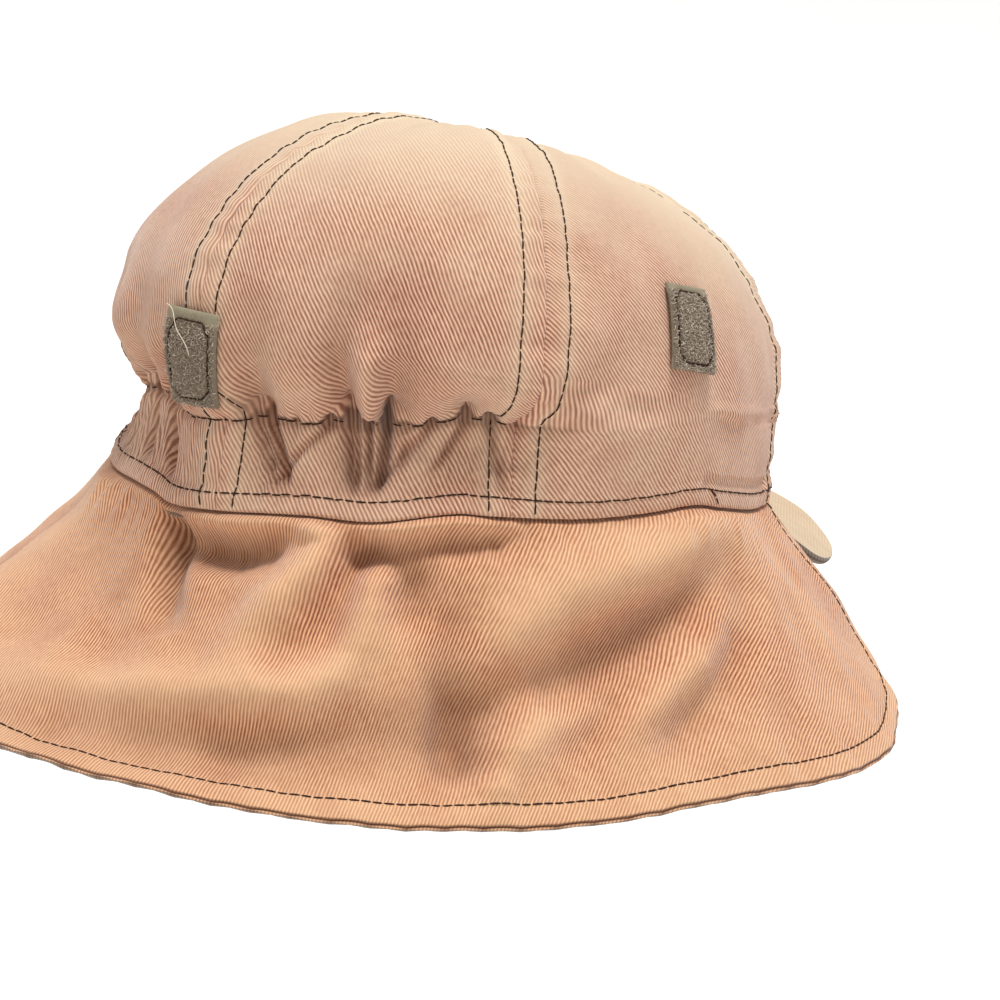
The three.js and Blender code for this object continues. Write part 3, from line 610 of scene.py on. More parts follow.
def imprint(angle, height):
    """1 where the end of the peak has pressed its outline into the cloth beside the rim, on both sides."""
    low, high, start, end = IMPRINT
    across = np.minimum(np.abs(angle) - start, end - np.abs(angle)) * DEGREE
    upward = np.minimum(height - low, high - height)
    return ease(np.minimum(across, upward) / STEP_RUN + 0.5)


def crown_detail(angle, share):
    """What sewing does to the crown: seams sunk between raised strips, rows of stitches that draw the cloth
    in, puckers beside them, and soft crumples all over."""
    u = angle * DEGREE
    v = share * CROWN_LENGTH
    degree = degree_length(angle, share)
    height = share / CASING_TOP * CASING_HEIGHT
    near_top = ease((1 - share) / TOP_FADE)
    detail = crumples("crown", u, v) * ease(height / CRUMPLE_RISE) * near_top
    for seam, foot, half in zip(*SEAMS.values()):
        off = np.abs(angle - seam_line(seam, foot, share)) * degree
        pucker = crumples("beside a seam", off, v, int(seam))
        detail += pucker * hump(off / (half + SEAM_PUCKER)) * near_top
        detail += (layer_relief(off - half - EDGE_PAST_ROW) + row_relief(off - half)) * near_top
        detail -= SEAM_SINK * hump(off / SEAM_WIDTH)
    above_row = height - RIM_STRIP
    detail += layer_relief(above_row - EDGE_PAST_ROW) + row_relief(above_row)
    detail += crumples("beside the rim", u, v) * hump(above_row / RIM_PUCKER)
    pull = elastic_pull(angle)
    above_casing = height - CASING_HEIGHT
    from_middle = (above_casing + 0.45 * CASING_HEIGHT) / (0.38 * CASING_HEIGHT)
    detail += pull * crumples("casing", u, v) * hump(from_middle)
    detail -= CASING_LINE * pull * hump(above_casing / CASING_LINE_WIDTH)
    detail += pull * crumples("over the casing", u, v) * hump(above_casing / CASING_PUCKER)
    return detail - IMPRINT_DEPTH * imprint(angle, height)


def crown_normal(angle, share):
    return normal_of(crown_form, angle, share)


def crown_point(angle, share, depth=0.0, detail=1.0):
    """A place in the crown's wall: depth is measured inward from its outer face."""
    angle, share = matched(angle, share)
    out = gather_relief(angle, share) - depth
    if detail:
        out = out + detail * crown_detail(angle, share)
    return crown_form(angle, share) + crown_normal(angle, share) * out[..., None]


# Flap


def flap_share(angle):
    """How far down the flap's cloth reaches: less at its rounded corners, by a quarter ellipse."""
    x = np.clip((np.abs(angle) - (FLAP_END - FLAP_CORNER)) / FLAP_CORNER, 0, 1)
    return 1 - CORNER_RISE / FLAP_DROP * (1 - np.sqrt(1 - x * x))


def flap_form(angle, share):
    """A quadratic curve from under the rim, through the pull of the section's knee, out to the hem. Just
    below the rim it comes out level with the crown's outer face."""
    angle, share = matched(angle, share)
    t = share * flap_share(angle)
    to_knee = 2 * t * (1 - t)
    to_hem = t * t
    knee_out = bend(FLAP_SECTIONS, "kneeOut", angle) * to_knee
    knee_down = bend(FLAP_SECTIONS, "kneeDown", angle) * to_knee
    out = FLAP_REACH * (knee_out + bend(FLAP_SECTIONS, "reach", angle) * to_hem)
    out = out + (WALL + TUCK_GAP) * ease(t * FLAP_DROP / LEVEL_RUN)
    down = FLAP_DROP * (knee_down + bend(FLAP_SECTIONS, "drop", angle) * to_hem)
    turn = np.radians(angle)
    root = ring_point(angle, -(WALL + TUCK_GAP), (rim_height(angle) - GAP) * (1 - t) - down)
    away = np.stack([-np.sin(turn) * out, np.cos(turn) * out, np.zeros(out.shape)], -1)
    return root + away


def path_length(points):
    return length_of(np.diff(points, axis=0)).sum()


# The flap's flat cut is a sector of a ring: its top edge is as long as the rim that it is sewn to, and it
# turns as much as its longer hem asks for.
ALL_ROUND = np.linspace(-FLAP_END, FLAP_END, 400)
FLAP_WIDTH = path_length(flap_form(0.0, np.linspace(0, 1, 60)))
FLAP_TOP_LENGTH = path_length(flap_form(ALL_ROUND, 0.0))
FLAP_HEM_LENGTH = path_length(flap_form(ALL_ROUND, 0.9)) / 0.9 - FLAP_TOP_LENGTH * (1 / 0.9 - 1)
CUT_TURN = (FLAP_HEM_LENGTH - FLAP_TOP_LENGTH) / FLAP_WIDTH
CUT_RADIUS = FLAP_TOP_LENGTH / CUT_TURN


def flap_cut(angle, share):
    """Where a place lies on the flat cut: right and up, in millimetres, up towards the rim."""
    turn = CUT_TURN * angle / (2 * FLAP_END)
    radius = CUT_RADIUS + FLAP_WIDTH * share * flap_share(angle)
    return radius * np.sin(turn), -radius * np.cos(turn)


def flap_cut_back(right, up):
    """The angle and share of a place on the flat cut."""
    angle = np.arctan2(right, -up) * (2 * FLAP_END) / CUT_TURN
    share = (np.hypot(right, up) - CUT_RADIUS) / (FLAP_WIDTH * flap_share(angle))
    return angle, share


def flap_edge():
    """The free edge of the flat cut, from the left front corner of the rim round the hem to the right."""
    sides = np.linspace(0, 1, 90)
    corner = (FLAP_END - FLAP_CORNER) + FLAP_CORNER * quarter(np.linspace(0, 1, 40)[1:])
    middle = np.linspace(-(FLAP_END - FLAP_CORNER), FLAP_END - FLAP_CORNER, 480)
    hem = np.concatenate([-corner[::-1], middle, corner])
    left = flap_cut(np.full(90, -FLAP_END), sides)
    low = flap_cut(hem, np.ones(hem.shape))
    right = flap_cut(np.full(90, FLAP_END), sides[::-1])
    return np.concatenate([left, low, right], axis=1)


FLAP_EDGE = flap_edge()


def edge_distance(angle, share):
    """How far a place is from the free edge, on the flat cut."""
    right, up = flap_cut(angle, share)
    nearest = np.full(right.shape, 1e9)
    for x, y in FLAP_EDGE.T:
        nearest = np.minimum(nearest, np.hypot(right - x, up - y))
    return nearest


def flap_relief(angle, share):
    length = math.hypot(FLAP_REACH / 2, FLAP_DROP)
    below_rim = ease(share / FOLD_FADE)
    folds = fold_relief(FLAP_FOLDS, angle, share, length, FOLD_WIDTH)
    return RELIEF * FOLD_HEIGHT * below_rim * folds


def flap_detail(angle, share):
    """The turned-up hem and its row of stitches, puckers beside it and under the rim, and soft crumples."""
    right, up = flap_cut(angle, share)
    v = FLAP_WIDTH * share
    edge = edge_distance(angle, share)
    below_rim = ease(v / FLAP_CRUMPLE_RISE)
    detail = crumples("flap", right, up) * below_rim
    detail += layer_relief(edge - HEM - HEM_PAST_ROW) + row_relief(edge - HEM)
    detail -= HEM_NOTCH * hump((edge - HEM_LAYER) / HEM_NOTCH_WIDTH)
    along = angle * DEGREE * FLAP_SPREAD
    detail += crumples("beside the hem", along, v) * hump((edge - HEM) / HEM_PUCKER)
    return detail + crumples("under the rim", along, v) * hump(v / FLAP_PUCKER) * below_rim


def tuck_point(angle, up, depth):
    """The turned-in edge, against the crown's inner face."""
    return crown_point(angle, up / CROWN_LENGTH, WALL + TUCK_GAP + depth, detail=0)


def flap_normal(angle, share):
    return -normal_of(flap_form, angle, share)


def flap_point(angle, share, depth=0.0):
    angle, share = matched(angle, share)
    below = np.maximum(share, 0.0)
    out = flap_relief(angle, below) + flap_detail(angle, below) - depth
    hanging = flap_form(angle, below) + flap_normal(angle, below) * np.asarray(out)[..., None]
    return np.where((share < 0)[..., None], tuck_point(angle, -share * TUCK, depth), hanging)


# Peak


def peak_form(across, share):
    """Straight lines from the rim to half an ellipse, which fall away more towards the ends."""
    across, share = matched(across, share)
    root = ring_point(180 + PEAK_END * across, -(WALL + TUCK_GAP), 0.0)
    end = ring_point(180 + PEAK_END, 0.0, 0.0)
    turn = across * np.pi / 2
    x = (abs(end[0]) + PEAK_OVERHANG) * np.sin(turn)
    y = end[1] - (RIM_HALF_LENGTH + PEAK_REACH + end[1]) * np.cos(turn)
    edge = np.stack([x, y, np.zeros(x.shape)], -1)
    point = mix(root, edge, share[..., None])
    slope = PEAK_SLOPE + PEAK_ARCH * np.abs(across) ** PEAK_ARCH_POWER
    fall = slope * length_of(point - root)
    point[..., 2] = -GAP - fall
    return point


def peak_point(across, share, depth=0.0):
    across, share = matched(across, share)
    step = 0.01
    side = peak_form(across + step, share) - peak_form(across - step, share)
    ahead = peak_form(across, share + step) - peak_form(across, share - step)
    normal = unit(np.cross(ahead, side))
    out = crumples("peak", across * PEAK_HALF_WIDTH, PEAK_REACH * (1 - share))
    return peak_form(across, share) + normal * np.asarray(out - depth)[..., None]


# Meshes


def add_mesh(name, points, faces, materials, face_material=None, uv=None, values=None):
    """A smooth mesh in metres. uv holds two numbers for each face corner, and values one number for each
    vertex of each named attribute."""
    faces = np.asarray(faces)
    corners = faces.shape[1]
    mesh = bpy.data.meshes.new(name)
    mesh.vertices.add(len(points))
    mesh.vertices.foreach_set("co", (points * MM).astype(np.float32).ravel())
    mesh.loops.add(faces.size)
    mesh.loops.foreach_set("vertex_index", faces.astype(np.int32).ravel())
    mesh.polygons.add(len(faces))
    mesh.polygons.foreach_set("loop_start", np.arange(0, faces.size, corners, dtype=np.int32))
    mesh.polygons.foreach_set("use_smooth", np.ones(len(faces), bool))
    for material in materials:
        mesh.materials.append(material)
    if face_material is not None:
        mesh.polygons.foreach_set("material_index", face_material.astype(np.int32))
    if uv is not None:
        layer = mesh.uv_layers.new(name="cloth")
        layer.uv.foreach_set("vector", (uv / UV_UNIT).astype(np.float32).ravel())
    for key, numbers in (values or {}).items():
        attribute = mesh.attributes.new(key, "FLOAT", "POINT")
        attribute.data.foreach_set("value", numbers.astype(np.float32).ravel())
    mesh.update(calc_edges=True)
    mesh.validate()
    made = bpy.data.objects.new(name, mesh)
    bpy.context.scene.collection.objects.link(made)
    return made


def wall_faces(columns, rows):
    """The quads of a closed wall whose front grid, then its back one, are numbered [column][row]: both
    faces and the four edges between them."""
    front = np.arange(columns * rows).reshape(columns, rows)
    back = front + columns * rows

    def quads(a, b, c, d):
        return np.stack([a.ravel(), b.ravel(), c.ravel(), d.ravel()], -1)

    parts = [
        quads(front[:-1, :-1], front[1:, :-1], front[1:, 1:], front[:-1, 1:]),
        quads(back[:-1, :-1], back[:-1, 1:], back[1:, 1:], back[1:, :-1]),
        quads(front[:-1, 0], back[:-1, 0], back[1:, 0], front[1:, 0]),
        quads(front[:-1, -1], front[1:, -1], back[1:, -1], back[:-1, -1]),
        quads(front[0, :-1], front[0, 1:], back[0, 1:], back[0, :-1]),
        quads(front[-1, :-1], back[-1, :-1], back[-1, 1:], front[-1, 1:]),
    ]
    return np.concatenate(parts)


def wall_points(front, back):
    return np.concatenate([front.reshape(-1, 3), back.reshape(-1, 3)])


def on_both(values, *numbers):
    """The values of one grid, for the places of both faces of a wall."""
    return np.concatenate([values.reshape(-1, *numbers)] * 2)


def most(chosen, faces):
    """Which faces have nearly half of their corners or more among the chosen places."""
    return chosen[faces].mean(1) > 0.4


def back_faces(faces):
    """Which faces of a wall lie mostly on its back grid."""
    return most(np.arange(faces.max() + 1) > faces.max() // 2, faces)


def rounded(distance, wall):
    """The share of its thickness that a wall keeps near its edge: a half circle's profile."""
    x = np.clip(distance / (wall / 2), 0, 1)
    return np.sqrt(1 - (1 - x) ** 2)


def turned(right, up, degrees):
    """Cloth coordinates across and along a twill line that leans that far from upright, top to the left."""
    turn = math.radians(degrees)
    across = right * math.cos(turn) + up * math.sin(turn)
    along = -right * math.sin(turn) + up * math.cos(turn)
    return np.stack([across, along], -1)


def finished(made, slot, *nodes):
    """Every piece rides on the one body and may stand for CAD nodes. The slot is not used."""
    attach(made, "root")
    if nodes:
        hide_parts(*nodes)
    return made


def sun_fade(angle, z):
    """How far the sun has bleached the cloth: most at the top, and lower down towards the front."""
    front = ease((np.abs(angle) - 60) / 60)
    return SUN_WEAR * ease((z - mix(SUN_FROM_BACK, SUN_FROM_FRONT, front)) / SUN_RUN)


def panel(name, node, from_angle, to_angle, lean, columns, rows, materials):
    """One crown panel between two seams. Its cloth coordinates are the lengths over its surface, from its
    middle line and from the rim. The strips beside the seams and the top are worn paler, the crests are
    paler partly from wear and partly as a painted highlight, and painted shade darkens the valleys and the
    crease over the casing."""
    edge = np.array([0.0, 0.12, 0.35, 0.75]) / CROWN_LENGTH
    shares = np.concatenate([edge, np.linspace(1.3 / CROWN_LENGTH, 1, rows)])
    parts = np.linspace(0, 1, columns)
    parts = parts - 0.05 * np.sin(4 * np.pi * parts)
    part, share = np.meshgrid(parts, shares, indexing="ij")
    feet = dict(zip(SEAMS["angle"], SEAMS["foot"]))
    start = seam_line(from_angle, feet[from_angle], share)
    end = seam_line(to_angle, feet[to_angle], share)
    angle = mix(start, end, part)
    kept = rounded(share * CROWN_LENGTH, WALL)
    half = WALL / 2
    outer = crown_point(angle, share, half * (1 - kept))
    inner = crown_point(angle, share, half * (1 + kept), detail=0.5)
    smooth = crown_form(angle, share)
    steps = length_of(np.diff(smooth, axis=0))
    right = np.concatenate([np.zeros((1, steps.shape[1])), np.cumsum(steps, axis=0)])
    right = right - right[columns // 2]
    rises = length_of(np.diff(smooth[columns // 2], axis=0))
    up = np.concatenate([[0.0], np.cumsum(rises)])[None, :] + np.zeros(angle.shape)
    faces = wall_faces(*angle.shape)
    crest = gather_relief(angle, share) / GATHER_DEPTH
    # Crests are paler, partly worn and partly a painted highlight.
    paling = sun_fade(angle, smooth[..., 2]) + CROWN_CREST_WEAR_AND_HIGHLIGHT * np.clip(crest, 0, 1)
    for seam, foot, reach in zip(*SEAMS.values()):
        off = np.abs(angle - seam_line(seam, foot, share)) * degree_length(angle, share)
        paling = paling + STRIP_WEAR * hump((off - reach) / STRIP_WEAR_WIDTH)
    # Painted shade: a dark line in the crease over the casing, and darker valleys.
    casing_crease_shade = hump((share - CASING_TOP) * CROWN_LENGTH / CASING_SHADE_WIDTH)
    valley = CROWN_VALLEY_SHADE * np.clip(-crest, 0, 1)
    shade = np.maximum(CASING_SHADE * casing_crease_shade * elastic_pull(angle), valley)
    uv = on_both(turned(right, up, lean), 2)[faces]
    values = {"paling": on_both(np.minimum(paling, 1)), "shade": on_both(shade)}
    made = add_mesh(name, wall_points(outer, inner), faces, materials, uv=uv, values=values)
    return finished(made, "crown_twill", node)


def flap(materials):
    """The neck flap. Its cloth coordinates are places on the flat cut. The hem and its low part are worn
    paler, the crests of its folds are paler partly from wear and partly as a painted highlight, and painted
    shade darkens its valleys and the line between the hem's two layers."""
    straight = FLAP_END - FLAP_CORNER
    corner = straight + FLAP_CORNER * quarter(np.linspace(0, 1, 46)[1:])
    middle = np.linspace(-straight, straight, FLAP_COLUMNS)
    angles = np.concatenate([-corner[::-1], middle, corner])
    near_rim = np.array([0.0, 0.25, 0.5, 0.75, 1.0, 1.3, 1.8]) / FLAP_WIDTH
    near_hem = 1 - np.array([1.7, 1.4, 1.2, 1.0, 0.8, 0.6, 0.4, 0.2, 0.07, 0.0]) / FLAP_WIDTH
    hanging = np.linspace(2.5 / FLAP_WIDTH, 1 - 2.2 / FLAP_WIDTH, FLAP_ROWS)
    shares = np.concatenate([[-1.0, -0.5], near_rim, hanging, near_hem])
    angle, share = np.meshgrid(angles, shares, indexing="ij")
    below = np.maximum(share, 0)
    edge = edge_distance(angle, below)
    kept = rounded(edge, WALL)
    half = WALL / 2
    outer = flap_point(angle, share, half * (1 - kept))
    inner = flap_point(angle, share, half * (1 + kept))
    faces = wall_faces(*angle.shape)[:, ::-1]
    crest = flap_relief(angle, below) / FOLD_HEIGHT
    paling = HEM_WEAR * (1 - ease((edge - HEM) / HEM_WEAR_RUN))
    paling = paling + LOW_WEAR * ease((below - LOW_WEAR_FROM) / LOW_WEAR_RUN)
    # The crests of the folds are paler, partly worn and partly a painted highlight.
    paling = paling + FLAP_CREST_WEAR_AND_HIGHLIGHT * np.clip(crest, 0, 1)
    # Painted shade: a dark line between the hem's two layers, and darker valleys.
    hem_layer_shade = hump((edge - HEM_LAYER) / HEM_SHADE_WIDTH)
    shade = np.maximum(hem_layer_shade, FLAP_VALLEY_SHADE * np.clip(-crest, 0, 1))
    values = {"paling": on_both(paling), "shade": on_both(shade)}
    uv = on_both(turned(*flap_cut(angle, share), FLAP_LEAN), 2)[faces]
    points = wall_points(outer, inner)
    made = add_mesh("flap_cloth", points, faces, materials, back_faces(faces), uv, values)
    return finished(made, "flap_twill", "neck_flap")


def peak(materials):
    """The peak, darker below and round its edge. Its cloth coordinates are those of its top as seen from
    above."""
    across = np.sin(np.linspace(-1, 1, PEAK_COLUMNS) * np.pi / 2)
    near_edge = 1 - np.array([1.5, 0.9, 0.45, 0.15, 0.0]) / PEAK_REACH
    middle = np.linspace(0.02, 1 - 2.4 / PEAK_REACH, PEAK_ROWS)
    shares = np.concatenate([[0.0], middle, near_edge])
    x, share = np.meshgrid(across, shares, indexing="ij")
    away = (1 - share) * PEAK_REACH
    kept = rounded(away, PEAK_WALL)
    half = PEAK_WALL / 2
    top = peak_point(x, share, half * (1 - kept))
    under = peak_point(x, share, half * (1 + kept))
    faces = wall_faces(*x.shape)[:, ::-1]
    uv = on_both(turned(top[..., 0], top[..., 1], PEAK_LEAN), 2)[faces]
    below = back_faces(faces) | (on_both(away)[faces].mean(1) < PEAK_DARK_WRAP)
    made = add_mesh("peak_cloth", wall_points(top, under), faces, materials, below, uv)
    return finished(made, "peak_twill", "peak")


# Stitching


def along_path(points, normals, pitch):
    """Evenly spaced places on a path, with its direction and the surface's normal at each."""
    steps = length_of(np.diff(points, axis=0))
    run = np.concatenate([[0.0], np.cumsum(steps)])
    count = max(int(run[-1] / pitch), 1)
    places = (np.arange(count) + 0.5) * run[-1] / count

    def at(distance, values):
        return np.stack([np.interp(distance, run, values[:, k]) for k in range(3)], -1)

    ahead = unit(at(places + pitch * 0.4, points) - at(places - pitch * 0.4, points))
    out = unit(at(places, normals))
    return at(places, points), ahead, out


def tube_faces(count, rings, sides):
    """The quads of many tubes, whose places are numbered [tube][ring][side]."""
    i, j = np.meshgrid(np.arange(rings - 1), np.arange(sides), indexing="ij")
    after = (j + 1) % sides
    corners = [i * sides + j, (i + 1) * sides + j, (i + 1) * sides + after, i * sides + after]
    start = (np.arange(count) * rings * sides)[:, None, None]
    return (start + np.stack(corners, -1).reshape(1, -1, 4)).reshape(-1, 4)


def stitches(centres, ahead, out, length, thread):
    """Lengths of thread that dive into the cloth at both ends: rings of points round an arch, whose radius
    falls as the root of 1 - x^4, to a tenth at the ends."""
    rings = np.linspace(-1, 1, STITCH_RINGS)
    turn = np.arange(STITCH_SIDES) * 2 * np.pi / STITCH_SIDES
    x, t = np.meshgrid(rings, turn, indexing="ij")
    radius = thread / 2 * np.sqrt(np.maximum(1 - x**4, 0.01))
    rise = STITCH_RISE * thread - STITCH_DIVE * thread * x**4
    aside = np.cross(out, ahead)
    local = np.stack([x * length / 2, radius * np.cos(t), rise + radius * np.sin(t)], -1)
    basis = np.stack([ahead, aside, out], 1)
    points = centres[:, None, None, :] + np.einsum("ijk,nkl->nijl", local, basis)
    return points.reshape(-1, 3), tube_faces(len(centres), STITCH_RINGS, STITCH_SIDES)


def surface_row(surface, normal, angle, share, pitch, length=None, thread=THREAD):
    """Stitches along the path of angles and shares on a surface."""
    centres, ahead, out = along_path(surface(angle, share), normal(angle, share), pitch)
    return stitches(centres, ahead, out, length or pitch * STITCH_SHARE, thread)


def add_stitches(name, rows, material, slot):
    points = [row_points for row_points, row_faces in rows]
    starts = np.cumsum([0] + [len(row_points) for row_points in points])
    faces = [row_faces + start for (row_points, row_faces), start in zip(rows, starts)]
    made = add_mesh(name, np.concatenate(points), np.concatenate(faces), [material])
    return finished(made, slot)


def crown_rows():
    """Two rows beside each seam, up to where they meet, the row at the rim, the row over the casing and a
    short one beside each end of the peak."""
    rows = []

    def add_row(angle, share):
        angle, share = matched(angle, share)
        rows.append(surface_row(crown_point, crown_normal, angle, share, STITCH_PITCH))

    share = np.linspace(ROW_START / CROWN_LENGTH, ROW_END, 900)
    for seam, foot, half in list(zip(*SEAMS.values()))[1:]:
        for side in (-1, 1):
            width = degree_length(np.full(share.shape, seam), share)
            angle = seam_line(seam, foot, share) + side * half / width
            kept = np.abs(angle - seam) < ROWS_MEET
            add_row((angle[kept] + 180) % 360 - 180, share[kept])
    add_row(np.linspace(-180, 180, 2400), RIM_STRIP / CROWN_LENGTH)
    add_row(np.linspace(-CASING_END + 4, CASING_END - 3, 1400), CASING_TOP)
    down = np.linspace(RIM_STRIP, ROW_START, 40) / CROWN_LENGTH
    for side in (-1, 1):
        add_row(side * np.linspace(*BESIDE_PEAK, 40), down)
    return rows


def flap_rows():
    """One row along the hem and both front edges, HEM inside the flat cut's edge."""
    x, y = FLAP_EDGE
    ahead = unit(np.stack([np.gradient(x), np.gradient(y)], -1))
    inside_x = x - ahead[:, 1] * HEM
    inside_y = y + ahead[:, 0] * HEM
    angle, share = flap_cut_back(inside_x, inside_y)
    kept = (share > 0.01) & (share < 0.99) & (np.abs(angle) < FLAP_END)
    return [surface_row(flap_point, flap_normal, angle[kept], share[kept], STITCH_PITCH)]


# Patches


def patch_place(angle, share, turn):
    """A function from right and up, in millimetres on the tape, to a place on the crown there. The tape is
    turned by some degrees, its top to the right."""
    step = 0.01
    degree = degree_length(angle, share)
    rise = length_of(crown_form(angle, share + step) - crown_form(angle, share - step)) / (2 * step)

    def place(right, up, depth):
        along, above = np.moveaxis(turned(right, up, turn), -1, 0)
        return crown_point(angle + along / degree, share + above / rise, depth, detail=0)

    return place


def patch(side, place, materials, pile):
    """A piece of loop tape: a woven base, sunk along the octagon of its stitches, and its raised pile."""
    edge = np.array([0.0, 0.1, 0.35, 0.8])
    lines = []
    for size, count in [(PATCH_WIDTH, PATCH_COLUMNS), (PATCH_HEIGHT, PATCH_ROWS)]:
        middle = np.linspace(1.3, size - 1.3, count)
        lines.append(np.concatenate([edge, middle, size - edge[::-1]]) - size / 2)
    x, y = np.meshgrid(*lines, indexing="ij")
    inside = np.minimum(PATCH_WIDTH / 2 - np.abs(x), PATCH_HEIGHT / 2 - np.abs(y))
    kept = rounded(inside, PATCH_WALL)
    sunk = PATCH_SINK * hump(patch_row_distance(x, y) / PATCH_SINK_WIDTH)
    half = PATCH_WALL / 2
    outer = place(x, y, -PATCH_GAP - half * (1 + kept) + sunk)
    inner = place(x, y, -PATCH_GAP - half * (1 - kept))
    faces = wall_faces(*x.shape)
    uv = on_both(np.stack([x, y], -1), 2)[faces]
    bare = (PATCH_HEIGHT / 2 - y < PATCH_TOP) & (inside > 0.1)
    border = most(on_both(bare), faces)
    made = add_mesh("tape_" + side, wall_points(outer, inner), faces, materials, border, uv)
    finished(made, "loop_tape", "loop_patch_" + side)
    add_pile("pile_" + side, place, pile)


def patch_row_distance(x, y):
    """Distance from the octagon of stitches: a rectangle inside the edge whose corners are cut off."""
    right = PATCH_WIDTH / 2 - PATCH_INSET
    top = PATCH_HEIGHT / 2 - PATCH_INSET
    corner = (np.abs(x) + np.abs(y) - (right + top - PATCH_CUT)) / math.sqrt(2)
    return np.maximum(np.maximum(np.abs(x) - right, np.abs(y) - top), corner)


def octagon():
    """The path of the stitches on a patch."""
    right = PATCH_WIDTH / 2 - PATCH_INSET
    top = PATCH_HEIGHT / 2 - PATCH_INSET
    quarter_x = [right, right, right - PATCH_CUT]
    quarter_y = [0, top - PATCH_CUT, top]
    xs = quarter_x + [-x for x in quarter_x[::-1]]
    ys = quarter_y + quarter_y[::-1]
    xs = xs + [-x for x in xs]
    ys = ys + [-y for y in ys]
    part = np.linspace(0, len(xs) - 1, 500)
    return np.interp(part, range(len(xs)), xs), np.interp(part, range(len(ys)), ys)


def tape_axes(place, x, y, depth):
    """Right, up and out on the tape, as unit vectors."""
    right = place(x + 0.5, y, depth) - place(x - 0.5, y, depth)
    above = place(x, y + 0.5, depth) - place(x, y - 0.5, depth)
    return unit(right), unit(above), unit(np.cross(right, above))


def tape_row(place, x, y, above, *thread):
    """Stitches along a path on the tape, at a height over its face. thread is their pitch and, where they
    differ from those of a seam, their length and thickness."""
    depth = -PATCH_GAP - PATCH_WALL - above

    def surface(right, up):
        return place(right, up, depth)

    def normal(right, up):
        return tape_axes(place, right, up, depth)[2]

    return surface_row(surface, normal, x, y, *thread)


def loose_thread(place):
    """A pale thread end that lies over the loops of the back patch, bent by a few ripples."""
    part = np.linspace(0, 1, 60)
    x = mix(-8.0, 1.5, part) + 0.5 * np.sin(9 * part)
    y = mix(11.2, 2.0, part**1.6)
    return tape_row(place, x, y, LOOSE_THREAD_HEIGHT, 0.8, 1.3, LOOSE_THREAD)


def add_pile(name, place, material):
    """Small loops on a jittered grid: half rings of thread, three-sided, each with its own size, heading
    and lean, left out on the tape's border and along the stitches."""
    random = np.random.default_rng(len(name))
    xs = np.arange(-PATCH_WIDTH / 2 + PATCH_BORDER, PATCH_WIDTH / 2 - PATCH_BORDER, LOOP_SPACING)
    ys = np.arange(-PATCH_HEIGHT / 2 + PATCH_BORDER, PATCH_HEIGHT / 2 - PATCH_TOP, LOOP_SPACING)
    x, y = (a.ravel() for a in np.meshgrid(xs, ys, indexing="ij"))
    x = x + random.uniform(-LOOP_JITTER, LOOP_JITTER, x.shape)
    y = y + random.uniform(-LOOP_JITTER, LOOP_JITTER, y.shape)
    kept = np.abs(patch_row_distance(x, y)) > LOOP_CLEAR
    x = x[kept]
    y = y[kept]
    base = place(x, y, -PATCH_GAP - PATCH_WALL + LOOP_SINK)
    right, above, out = tape_axes(place, x, y, 0)
    heading = random.uniform(0, 2 * np.pi, x.shape)[:, None]
    tilt = random.uniform(-LOOP_TILT, LOOP_TILT, x.shape)[:, None]
    ahead = right * np.cos(heading) + above * np.sin(heading)
    aside = np.cross(out, ahead)
    upright = unit(out + aside * tilt)
    size = random.uniform(*LOOP_SIZES, x.shape)
    arch = np.linspace(0, np.pi, LOOP_RINGS)
    turn = np.arange(LOOP_SIDES) * 2 * np.pi / LOOP_SIDES
    t, k = np.meshgrid(arch, turn, indexing="ij")
    along = (LOOP_HALF_WIDTH + LOOP_THREAD * np.cos(k)) * np.cos(t)
    rise = (LOOP_HEIGHT + LOOP_THREAD * np.cos(k)) * np.sin(t)
    sideways = LOOP_THREAD * np.sin(k)
    points = base[:, None, None, :] + size[:, None, None, None] * (
        along[None, ..., None] * ahead[:, None, None, :]
        + rise[None, ..., None] * upright[:, None, None, :]
        + sideways[None, ..., None] * aside[:, None, None, :]
    )
    faces = tube_faces(len(x), LOOP_RINGS, LOOP_SIDES)[:, [0, 3, 2, 1]]
    tint = np.repeat(random.uniform(0, 1, len(x)), LOOP_RINGS * LOOP_SIDES)
    made = add_mesh(name, points.reshape(-1, 3), faces, [material], values={"paling": tint})
    return finished(made, "loop_tape")


# Materials


def linear(hex_colour):
    """An sRGB hex colour as linear numbers."""
    channels = [int(hex_colour[i : i + 2], 16) / 255 for i in (1, 3, 5)]
    return [c / 12.92 if c < 0.04045 else ((c + 0.055) / 1.055) ** 2.4 for c in channels] + [1.0]


def add_node(tree, kind, inputs=None, out=0, **settings):
    """Adds a node with its settings, sets or links its inputs by name or number, and returns one of its
    outputs. A Mix of colours takes its share as input 0 and the colours as 6 and 7, and its output is 2."""
    node = tree.nodes.new("ShaderNode" + kind)
    for name, value in settings.items():
        setattr(node, name, value)
    for key, value in (inputs or {}).items():
        if isinstance(value, bpy.types.NodeSocket):
            tree.links.new(value, node.inputs[key])
        else:
            node.inputs[key].default_value = value
    return node.outputs[out]


def new_material(name, settings):
    """A material, its node tree and its surface shader, whose inputs are set by name."""
    material = bpy.data.materials.new(name)
    material.use_nodes = True
    tree = material.node_tree
    shader = tree.nodes["Principled BSDF"]
    for key, value in settings.items():
        shader.inputs[key].default_value = value
    return material, tree, shader


def two_tone(tree, shader, share, colour, lit):
    """The base colour runs from one colour to the other with the share."""
    mixed = add_node(tree, "Mix", {0: share, 6: linear(colour), 7: linear(lit)}, 2, data_type="RGBA")
    tree.links.new(mixed, shader.inputs["Base Color"])


# Real twill has a line every 0.8 mm or so. A millimetre is what the photo shows.
TWILL_PITCH = 1.0
YARN = 0.45
SLUB = 5 * YARN  # length of a thicker place in the yarn
TAPE_YARN = 0.7
CLOUD_SHARE = 0.3  # how strong the paler and deeper clouds are
PAINTED_SHADE_COLOUR = "#532a16"  # painted shade: the dark line between two layers, in the crease over the casing and in valleys
